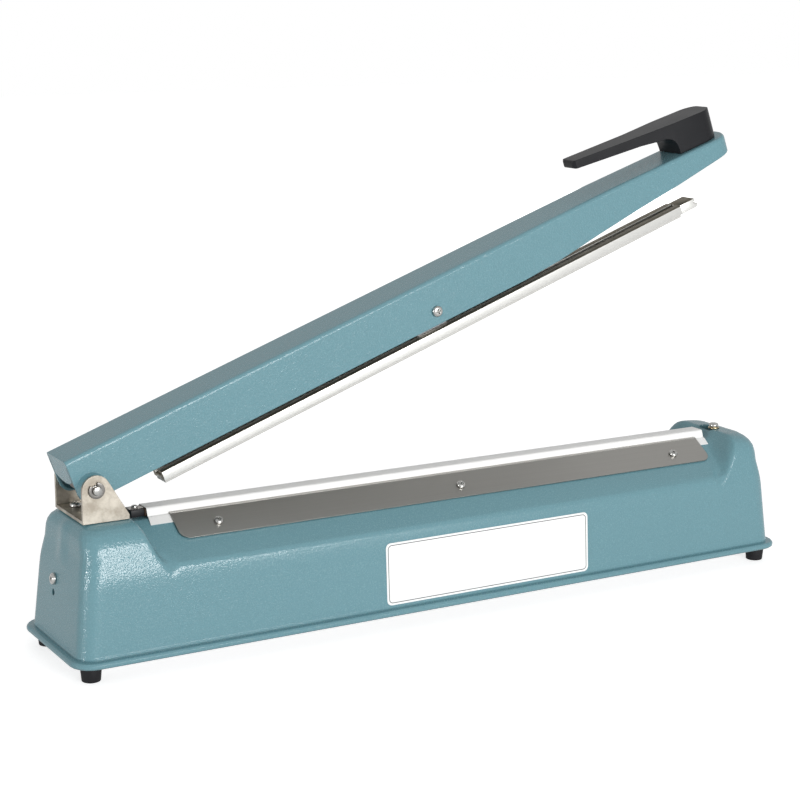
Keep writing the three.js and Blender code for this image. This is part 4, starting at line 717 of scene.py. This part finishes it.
casting = joined_copy("housing")
bmesh.ops.remove_doubles(casting, verts=casting.verts, dist=0.00008)
flattened(casting, 0.5)
LEFT_END, RIGHT_END = -204, 216
cut_across(casting, 2, [CUT_FROM])
cut_across(casting, 0, [-100, 0, 100], CUT_FROM)
cut_across(casting, 0, [-160, -186, -194, -198, -202, LEFT_END], CUT_FROM, left_of=-100)
cut_across(casting, 0, [*range(-206, -240, -1), -243, -246, -249, -252], CUT_FROM, left_of=LEFT_END)
cut_across(casting, 0, [180, 200, 208, 212, RIGHT_END], CUT_FROM, right_of=100)
cut_across(casting, 0, [*range(218, 250), 252], CUT_FROM, right_of=RIGHT_END)
cut_across(casting, 2, [57 + 1.5 * step for step in range(7)], CUT_FROM)
cut_across(casting, 2, [67.5 + 1.5 * step for step in range(18)], CROWN_FROM, LEFT_END, RIGHT_END)
cut_across(casting, 1, [3 * step for step in range(-14, 15)], CROWN_FROM, LEFT_END, RIGHT_END)
bmesh.ops.triangulate(casting, faces=[face for face in casting.faces if len(face.verts) > 4])
tree = BVHTree.FromBMesh(casting)
moved = 0
for corner in casting.verts:
    spot = corner.co / MM
    if spot.z < MOVED_FROM:
        continue
    centre = Vector((max(-SPINE, min(SPINE, spot.x)), 0, AXIS))
    away = spot - centre
    beyond = Vector((away.x, away.y, 0))
    far = away.length
    if abs(spot.x) <= SPINE:
        rise = math.atan2(away.z, abs(away.y))
        wanted = casting_far(spot.x, rise)
    else:
        level = beyond.length * wall_y(LEAN_START) / plan_reach(beyond.normalized())
        rise = math.atan2(away.z, level)
        turn = math.degrees(math.atan2(abs(beyond.x), abs(beyond.y)))
        new, old = casting_far(math.copysign(SPINE, spot.x), rise), far_as(cad_crown, rise)
        wanted = far * (1 + (min(new / old, 1.02) - 1) * eased((TURN_END - turn) / TURN_BAND))
    ray = away.normalized()
    beside = [spot + ray * 0.4 + Vector((step, 0, 0)) for step in (-0.03, 0.03)]
    free = any(tree.ray_cast(start * MM, ray)[0] is None for start in beside)
    top = wanted * math.sin(rise) + AXIS
    if far < wanted - 0.05 and min(abs(top - CROWN), abs(top - RIDGE)) < 0.05:
        continue  # the wall of a hole in a level face
    if free and wanted < far + (LOW_MOVE if rise < LOW_RISE else HIGH_MOVE):
        corner.co = (centre + ray * wanted) * MM
        moved += 1
    elif not free and far > wanted - LEAST_WALL:
        corner.co = (centre + ray * (wanted - LEAST_WALL)) * MM
even_shading(finished_piece("housing_shell", casting, enamel, ("housing",), 32))
print("corners moved:", moved)

# %% [markdown]
# ## Screws
# Small pan-head screws with a cross recess hold everything. The head is a flat drum whose upper rim is rounded
# in several steps. Its shank is plain, as in the CAD model, because no thread shows.

# %% Screws
SIZES = {"small": (3.1, 2.0, 1.7), "middle": (3.8, 2.4, 2.0), "terminal": (2.1, 1.5, 1.1)}


def cross_screw(node, size, length, point, direction, turn=0.0):
    head, height, shank = SIZES[size]
    profile = [(0, -length), (shank - 0.3, -length), (shank, 0.3 - length), (shank, 0), (head - 0.12, 0),
               (head, 0.12)]
    for step in range(7):
        share = step / 6
        angle = share * math.pi / 2
        profile.append((head * (0.5 + 0.5 * math.cos(angle)), height * (0.36 + 0.64 * math.sin(angle))))
    profile.append((0, height))
    cross = turned(profile, 40)
    long, wide, deep = head * 1.24, head * 0.26, height * 1.1
    for quarter in (0, math.pi / 2):
        punch = bmesh.new()
        wing = Matrix.Diagonal((long * MM, wide * MM, deep * MM, 1))
        for corner in bmesh.ops.create_cube(punch, size=1, matrix=wing)["verts"]:
            if corner.co.z < 0:
                corner.co.x *= 0.6
                corner.co.y *= 0.75
        placed(punch, Matrix.Rotation(quarter, 4, "Z") @ at((0, 0, height)))
        cross = combined(cross, punch)
    placed(cross, standing(point, direction) @ Matrix.Rotation(turn, 4, "Z"))
    screw = finished_piece(node + "_turned", cross, zinc, (node,), 28)
    print(node, "differs from the CAD box by", box_difference(screw, node), "mm")


plate_y, plate_z = slope_point(10.3, 1.75)
for place, x, turn in (("left", -165.6, 0.5), ("middle", 15.6, 1.1), ("right", 196.8, 0.2)):
    for plate, side in (("front_plate", 1), ("rear_plate", -1)):
        spot, normal = (x, plate_y * side, plate_z), (0, -math.sin(SLOPE) * side, math.cos(SLOPE))
        cross_screw(f"{plate}_screw_{place}", "small", 8, spot, normal, turn * side)
for place, y, turn in (("front", -13, 0.35), ("rear", 13, 0.9)):
    cross_screw(f"bracket_screw_{place}", "middle", 9, (-248.7, y, 97.2), (0, 0, 1), turn)
for place, x, y in FEET:
    spot = (FOOT_X * x, FOOT_Y * y, 3.7)
    cross_screw(f"foot_screw_{place}", "middle", 23.2, spot, (0, 0, -1), x + y * 0.4)
cross_screw("terminal_screw_left", "terminal", 5, (-214.4, 0, 94.65), (0, 0, 1), 0.6)
cross_screw("terminal_screw_right", "terminal", 4.6, (232.45, 0, 91.6), (1, 0, 0), 0.4)
for place, u, v in (("left", 498, 19.04), ("right", 516, 18.68)):
    cross_screw(f"handle_screw_{place}", "small", 14, on_arm(u, v), arm_direction(0, -1), u)
outward = Vector((-math.cos(END_LEAN), 0, math.sin(END_LEAN)))
spot = Vector((-end_x(53.7), 7, 53.7)) + outward * 0.3
cross_screw("earth_screw", "middle", 10, spot, outward, 0.7)
cross_screw("bar_screw", "middle", 38.4, on_arm(262.5, 0.7, -17.3), (0, -1, 0), 0.3)

# %% [markdown]
# ## Pin, clips, feet, plunger, lens and gland
# The hinge pin has a groove near each end for a spring clip, an open ring that is pushed on from one side. The
# rubber feet taper downwards and have a recess that hides their screw. All of them repeat the CAD profiles with
# more steps and with rounded rims, and all profiles are pairs of radius and height in millimetres.

# %% Small turned pieces
half = [(3, 24.9), (2.3, 24.9), (2.3, 26.4), (3, 26.4), (3, 27.3), (2.72, 27.87), (2.1, 28.2), (0, 28.2)]
pin = turned([(radius, -along) for radius, along in reversed(half)] + half)
pin = bevelled(pin, 0.12, 2, 50)
placed(pin, at(PIVOT) @ Matrix.Rotation(math.pi / 2, 4, "X"))
finished_piece("hinge_pin_turned", pin, zinc, ("hinge_pin",))

for side, node in ((-1, "pin_clip_front"), (1, "pin_clip_rear")):
    mouth = math.radians(56)
    start = math.radians(112) + mouth / 2
    ring = bmesh.new()
    low = 25.2 if side > 0 else -26.1
    corners = [ring.verts.new((radius * MM * math.cos(start), (low + along) * MM, radius * MM * math.sin(start)))
               for radius, along in ((2.6, 0), (5.2, 0), (5.2, 0.9), (2.6, 0.9))]
    cap = ring.faces.new(corners)
    bmesh.ops.spin(ring, geom=[cap] + cap.edges[:] + corners, cent=(0, 0, 0), axis=(0, -1, 0),
                   angle=math.tau - mouth, steps=56)
    bmesh.ops.remove_doubles(ring, verts=ring.verts, dist=0.000001)
    bmesh.ops.recalc_face_normals(ring, faces=ring.faces)
    bevelled(ring, 0.16, 2, 60)
    placed(ring, at(PIVOT))
    finished_piece(node + "_ring", ring, spring_steel, (node,))

for place, x, y in FEET:
    foot = turned([(4.1, 0), (5.5, 0), (5.8, 0.15), (6, 0.5), (6.88, 9.9), (6.75, 10.2), (2.3, 10.2), (2.3, 4),
                   (4.1, 4)])
    placed(foot, at((FOOT_X * x, FOOT_Y * y, 0)))
    finished_piece(f"foot_{place}_turned", foot, foot_rubber, (f"foot_{place}",), 40)

KNOB_FOOT = 96.2
plunger = turned([(0, 69.7), (2, 69.7), (2, 82.8), (3.6, 82.8), (3.6, 84.2), (2, 84.2), (2, 94.8), (4, 94.8),
                  (4, 95.7), (2.3, 95.7), (2.3, 96.3), (3.5, 96.3), (3.5, 97.6), (3.3, 98.15), (2.9, 98.5),
                  (2.3, 98.66), (0, 98.7)])
bevelled(plunger, 0.1, 2, 60)
placed(plunger, at((PLUNGER_X, PLUNGER_Y, 0)))
plunger_piece = finished_piece("switch_plunger_turned", plunger, brass, ("switch_plunger",))
plunger_piece.data.materials.append(zinc)
for face in plunger_piece.data.polygons:
    face.material_index = int(face.center.z > KNOB_FOOT * MM)

lens = turned([(0, -9), (4, -9), (4, 0.3), (5.4, 0.3), (5.4, 1.3), (5.2, 1.5), (4.1, 1.5), (3.98, 1.9),
               (3.75, 2.5), (3.3, 3.05), (2.6, 3.5), (1.7, 3.78), (0.8, 3.88), (0, 3.9)])
placed(lens, on_rear_wall(105, 42))
finished_piece("lamp_lens_turned", lens, red_lens, ("lamp_lens",), 50)

gland = turned([(3.6, -5), (6, -5), (6, 0.3), (8.2, 0.3), (8.5, 0.6), (8.5, 2.0), (8.2, 2.3), (5.6, 2.3),
                (5.35, 2.6), (4.9, 4.7), (4.6, 5), (3.6, 5)])
placed(gland, on_rear_wall(-150, 32))
finished_piece("cord_gland_turned", gland, foot_rubber, ("cord_gland",), 45)

grip_steps = 72
knob = turned([(3.3, 0.3), (13.2, 0.3), (13.5, 0.6), (13.5, 2.2), (13.2, 2.9), (12.6, 3.1), (10.6, 3.1),
               (10.4, 3.4), (10.2, 5.0), (9.7, 5.4), (9.2, 5.5), (0, 5.5), (0, 4.5), (3.3, 4.5)], grip_steps)
for corner in knob.verts:
    radius, height = corner.co.xy.length, corner.co.z
    if 9.9 * MM < radius < 10.7 * MM and height > 3.2 * MM:
        number = round(math.atan2(corner.co.y, corner.co.x) / math.tau * grip_steps)
        if number % 3 == 0:
            corner.co.xy *= 0.955
pointer = bevelled(block((-0.7, -12.5, 3.0), (0.7, -7.5, 5.45)), 0.3, 2)
placed(knob, on_rear_wall(60, 42))
knob_piece = finished_piece("timer_knob_turned", knob, knob_plastic, ("timer_knob",), 35)
placed(pointer, on_rear_wall(60, 42))
finished_piece("timer_knob_pointer", pointer, white_mark, ("timer_knob",), 35)
print("the knob differs from its CAD box by", box_difference(knob_piece, "timer_knob"), "mm")

# %% [markdown]
# ## Springs
# Both springs are wire wound on a mandrel. A circle of the wire's size is spun round the axis while it moves
# along it, which gives the winding, and the ends of the hinge spring are drawn out straight as its two legs. One
# leg lies under the arm and one on the bracket, so the real spring bends between the two bodies when the arm
# turns; this one is wound in a single shape and rides on neither body.

# %% Wound wire
def winding(radius, wire, turn, rise, steps_per_turn, start=0.0, sides=10):
    """A round wire wound about Z from an angle, through a turn, rising in all by rise; in millimetres."""
    mesh = bmesh.new()
    place = Matrix.Rotation(start, 4, "Z") @ at((radius, 0, 0)) @ Matrix.Rotation(math.pi / 2, 4, "X")
    bmesh.ops.create_circle(mesh, cap_ends=True, segments=sides, radius=wire / 2 * MM, matrix=place)
    steps = round(abs(turn) / math.tau * steps_per_turn)
    bmesh.ops.spin(mesh, geom=mesh.faces[:] + mesh.edges[:] + mesh.verts[:], cent=(0, 0, 0), axis=(0, 0, 1),
                   angle=turn, steps=steps, dvec=(0, 0, rise * MM / steps))
    return mesh


SEAT_GAP, TURNS, STEPS_PER_TURN = 0.3, 6, 32
PLUNGER_WIRE, PLUNGER_COIL, BUSH_TOP, COLLAR_FOOT = 0.7, 3, 71.5, 82.8
low = BUSH_TOP + SEAT_GAP + PLUNGER_WIRE / 2
high = COLLAR_FOOT - SEAT_GAP - PLUNGER_WIRE / 2
coil = winding(PLUNGER_COIL, PLUNGER_WIRE, math.tau * TURNS, high - low, STEPS_PER_TURN)
placed(coil, at((PLUNGER_X, PLUNGER_Y, low)))
plunger_spring = finished_piece("plunger_spring_wound", coil, spring_steel, ("plunger_spring",), 60)
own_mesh(plunger_spring)

HINGE_WIRE, HINGE_COIL, HINGE_PITCH = 1.6, 5.4, 2.3
ARM_INSIDE, BRACKET_TOP = 22.4 - 1.5, 94.6 + 2.3
leg_v = ARM_INSIDE - SEAT_GAP - HINGE_WIRE / 2
arm_leg = complex(26, leg_v) * complex(math.cos(ARM_ANGLE), math.sin(ARM_ANGLE))
base_leg = complex(12.7, BRACKET_TOP + SEAT_GAP + HINGE_WIRE / 2 - PIVOT.z)
start_angle = math.atan2(arm_leg.imag, arm_leg.real) + math.acos(HINGE_COIL / abs(arm_leg))
end_angle = math.atan2(base_leg.imag, base_leg.real) - math.acos(HINGE_COIL / abs(base_leg))
sweep = math.tau * TURNS + (end_angle - start_angle) % math.tau
half_width = sweep / math.tau * HINGE_PITCH / 2
coil = winding(HINGE_COIL, HINGE_WIRE, sweep, half_width * 2, STEPS_PER_TURN, start_angle, 12)
bmesh.ops.translate(coil, verts=coil.verts, vec=(0, 0, -half_width * MM))
wire_ends = [face for face in coil.faces if len(face.verts) > 4]
first = min(wire_ends, key=lambda face: face.calc_center_median().z)
last = max(wire_ends, key=lambda face: face.calc_center_median().z)
for face, target in ((first, arm_leg), (last, base_leg)):
    away = Vector((target.real, target.imag, 0)) * MM
    away.z = face.calc_center_median().z
    step = away - face.calc_center_median()
    drawn = bmesh.ops.extrude_discrete_faces(coil, faces=[face])["faces"]
    bmesh.ops.translate(coil, verts=drawn[0].verts, vec=step)
bmesh.ops.remove_doubles(coil, verts=coil.verts, dist=0.000001)
upright = Matrix(((1, 0, 0, 0), (0, 0, 1, 0), (0, 1, 0, 0), (0, 0, 0, 1)))
placed(coil, at(PIVOT) @ upright)
hinge_spring = finished_piece("hinge_spring_wound", coil, spring_steel, ("hinge_spring",), 60, rides=False)
print("the hinge spring differs from its CAD box by", box_difference(hinge_spring, "hinge_spring"), "mm")
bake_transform(hinge_spring)

# %% [markdown]
# ## Handle
# The handle is one black moulding, a lever with an arched neck and a broad heel. Such mouldings have no sharp
# edge: the copy of the CAD node first loses the lines between faces that lie in one plane, and then every real
# edge is rounded in three steps.

# %% Handle
handle = bevelled(flattened(joined_copy("handle"), 2), 0.9, 3, 38)
moulding = finished_piece("handle_moulding", handle, handle_plastic, ("handle",), 45)
even_shading(moulding)
print("handle faces:", len(moulding.data.polygons))

# %% [markdown]
# ## Press bar, striker and rubber
# The press bar is an extrusion with small chamfers, its rubber strip sits in a groove below it, and the striker
# at its right end is a notched block. Their edges are broken by a tenth of a millimetre or so, as files do.

# %% Bar, striker, blocks and plates
for node, material, width in (
    ("press_bar", bar_metal, 0.15), ("switch_striker", bar_metal, 0.25), ("silicone_strip", grey_silicone, 0.25),
    ("terminal_block_left", black_plastic, 0.35), ("terminal_block_right", black_plastic, 0.35),
    ("insulator_strip", brown_board, 0.1), ("bar_nut", zinc, 0.2), ("micro_switch", black_plastic, 0.3),
    ("base_plate", sheet_zinc, 0.2), ("timer_board", board_green, 0.2),
    ("transformer_core", core_sheets, 0.3), ("transformer_coil", coil_tape, 0.8),
):
    shape = bevelled(flattened(joined_copy(node), 1), width, 2, 40)
    finished_piece(node + "_finished", shape, material, (node,), 35)
# The bar's upper and end faces and the striker's upper faces take the darker copy by the way they face: painted
# shade and painted reflection on the one metal, over its own khaki tone.
for name in ("press_bar_finished", "switch_striker_finished"):
    data = bpy.data.objects[name].data
    data.materials.append(bar_khaki_and_painted_shade)
    for face in data.polygons:
        level = face.normal.dot(arm_direction(0, 1))
        along = abs(face.normal.dot(arm_direction(1, 0)))
        face.material_index = int(level > 0.3 or along > 0.7 and name.startswith("press"))
for node, material in (("heating_element", strip_metal), ("label_plate", card)):
    for place in frame["nodes"][node].material_slots:
        place.material = material
print("bar and blocks finished")

# %% [markdown]
# ## Non-stick cloth
# The cloth is stretched over the element and clamped under both press plates. Its section is one line: over the
# flat top, down beside the heat-proof strip, out over the ridge and down the slopes. The line is walked in short
# steps and its bends are softened, because cloth of this thickness can't fold sharply. A slow waviness of a few
# hundredths of a millimetre keeps it from looking like sheet metal.

# %% Cloth
CLOTH_THICKNESS, CLOTH_TOP, LAYER_GAP = 0.35, 95, 0.15
CLOTH_LEFT, CLOTH_RIGHT, CLOTH_ROWS = -208.8, 234.2, 150
out = LAYER_GAP + CLOTH_THICKNESS / 2
low_y, low_z = slope_point(16, out)
side = [Vector((0, CLOTH_TOP - CLOTH_THICKNESS / 2)), Vector((-6.2 + 0.17, CLOTH_TOP - CLOTH_THICKNESS / 2)),
        Vector((-7.9, RIDGE + out)), Vector((-RIDGE_HALF_WIDTH - out * math.tan(SLOPE / 2), RIDGE + out)),
        Vector((low_y, low_z))]
near = softened(side, [1.1, 1.6, 0.7], 5)
line = [Vector((-p.x, p.y)) for p in reversed(near[1:])] + near
lengths = [0.0]
for first, second in zip(line, line[1:]):
    lengths.append(lengths[-1] + (second - first).length)
sheet = bmesh.new()
bmesh.ops.create_grid(sheet, x_segments=CLOTH_ROWS, y_segments=len(line) - 1, size=0.5)
for corner in sheet.verts:
    along = corner.co.x + 0.5
    number = round((corner.co.y + 0.5) * (len(line) - 1))
    point = line[number]
    slack = max(0.0, abs(point.x) - RIDGE_HALF_WIDTH) / (abs(low_y) - RIDGE_HALF_WIDTH)
    left, right = CLOTH_LEFT - 0.8 * slack, CLOTH_RIGHT - 0.6 * slack
    x = left + (right - left) * along
    wave = 0.05 * math.sin(x * 0.11 + point.x * 0.3) + 0.035 * math.sin(x * 0.31 - point.x * 0.5)
    drop = -abs(wave) * 0.8 if abs(point.x) < 6 else wave
    corner.co = Vector((x, point.x, point.y + drop * 0.9)) * MM
flat_area = sum(face.calc_area() for face in sheet.faces)
bmesh.ops.recalc_face_normals(sheet, faces=sheet.faces)
if sum(face.normal.z for face in sheet.faces) < 0:
    bmesh.ops.reverse_faces(sheet, faces=sheet.faces)
for corner in sheet.verts:
    corner.co += corner.normal * CLOTH_THICKNESS / 2 * MM
bmesh.ops.solidify(sheet, geom=sheet.faces, thickness=CLOTH_THICKNESS * MM)
cloth = finished_piece("ptfe_cloth_stretched", sheet, cloth_white, ("ptfe_cloth",), 60)

# %% [markdown]
# ## Camera, floor and light
# The camera was fitted to sixty points of the photograph, so its place, turn and focal length are numbers here.
# The surroundings are white, but mirrored at less than half of that, as in a room behind the camera. A wide low
# lamp in front lights the label side and lies on the raised left end as a bright patch. A small one on the left
# draws the line on its corner. A dim one lights the rear and isn't mirrored, because it would burn out the edge of
# the raised ends. The floor keeps a faint shadow under the feet.

# %% Camera, floor and light
camera_data = bpy.data.cameras.new("Fitted camera")
SENSOR, PICTURE, FOCAL_PIXELS = 36, 800, 1938.18
camera_data.sensor_width = SENSOR
camera_data.lens = FOCAL_PIXELS / PICTURE * SENSOR
camera_data.shift_x = 0.0040
camera_data.shift_y = -0.0095
camera_data.clip_start = 0.05
camera = in_scene("Fitted camera", camera_data)
azimuth, elevation = math.radians(-29.64), math.radians(11.94)
level = math.cos(elevation)
back = Vector((math.sin(azimuth) * level, -math.cos(azimuth) * level, math.sin(elevation)))
camera.location = (-0.65679, -1.11390, 0.42006)
camera.rotation_euler = back.to_track_quat("Z", "Y").to_euler()
bpy.context.scene.camera = camera
bpy.context.scene.view_settings.view_transform = "Standard"


class Surroundings(Finish):
    """The world's own nodes, made with the same helpers."""

    def __init__(self, world):
        self.tree = world.node_tree
        self.shader = self.tree.nodes["Background"]


def seen(finish, mirrored=1.0):
    """1 for rays that show a surface to the eye, straight or through glass, and a share for mirrored ones."""
    path = finish.node("ShaderNodeLightPath", output="Is Camera Ray")
    rays = path.socket.node.outputs
    both = path + Wire(finish, rays["Is Glossy Ray"]) * mirrored + Wire(finish, rays["Is Transmission Ray"])
    return both.at_most(1)


world = bpy.data.worlds.new("Studio")
world.use_nodes = True
bpy.context.scene.world = world
room = Surroundings(world)
room.set(room.shader, {"Color": (1, 1, 1), "Strength": seen(room, 0.35) * 0.56 + 0.44})

floor_finish = Finish("floor_white", (0.62, 0.62, 0.62), 0.7)
floor_finish.feed(Emission_Color=(1, 1, 1), Emission_Strength=seen(floor_finish, 0.5) * 0.72)
ground = bmesh.new()
bmesh.ops.create_grid(ground, x_segments=1, y_segments=1, size=6)
floor = linked("floor", ground)
floor.data.materials.append(floor_finish.material)


def soft_lamp(name, place, aim, width, height, power):
    data = bpy.data.lights.new(name, "AREA")
    data.shape = "RECTANGLE"
    data.size, data.size_y, data.energy = width, height, power
    lamp = in_scene(name, data)
    lamp.location = place
    lamp.rotation_euler = (Vector(place) - Vector(aim)).to_track_quat("Z", "Y").to_euler()
    lamp.visible_camera = False
    return lamp


soft_lamp("Front lamp", (0.16, -2.85, 0.66), (-0.2, 0, 0.08), 1.9, 0.92, 62)
soft_lamp("Side lamp", (-2.2, -0.30, 0.25), (-0.26, -0.04, 0.078), 0.5, 0.24, 9)
rear_lamp = soft_lamp("Rear lamp", (1.7, 2.2, 0.3), (0, 0, 0.06), 1.8, 0.36, 15)
rear_lamp.visible_glossy = False
print("camera lens:", round(camera_data.lens, 2), "mm")
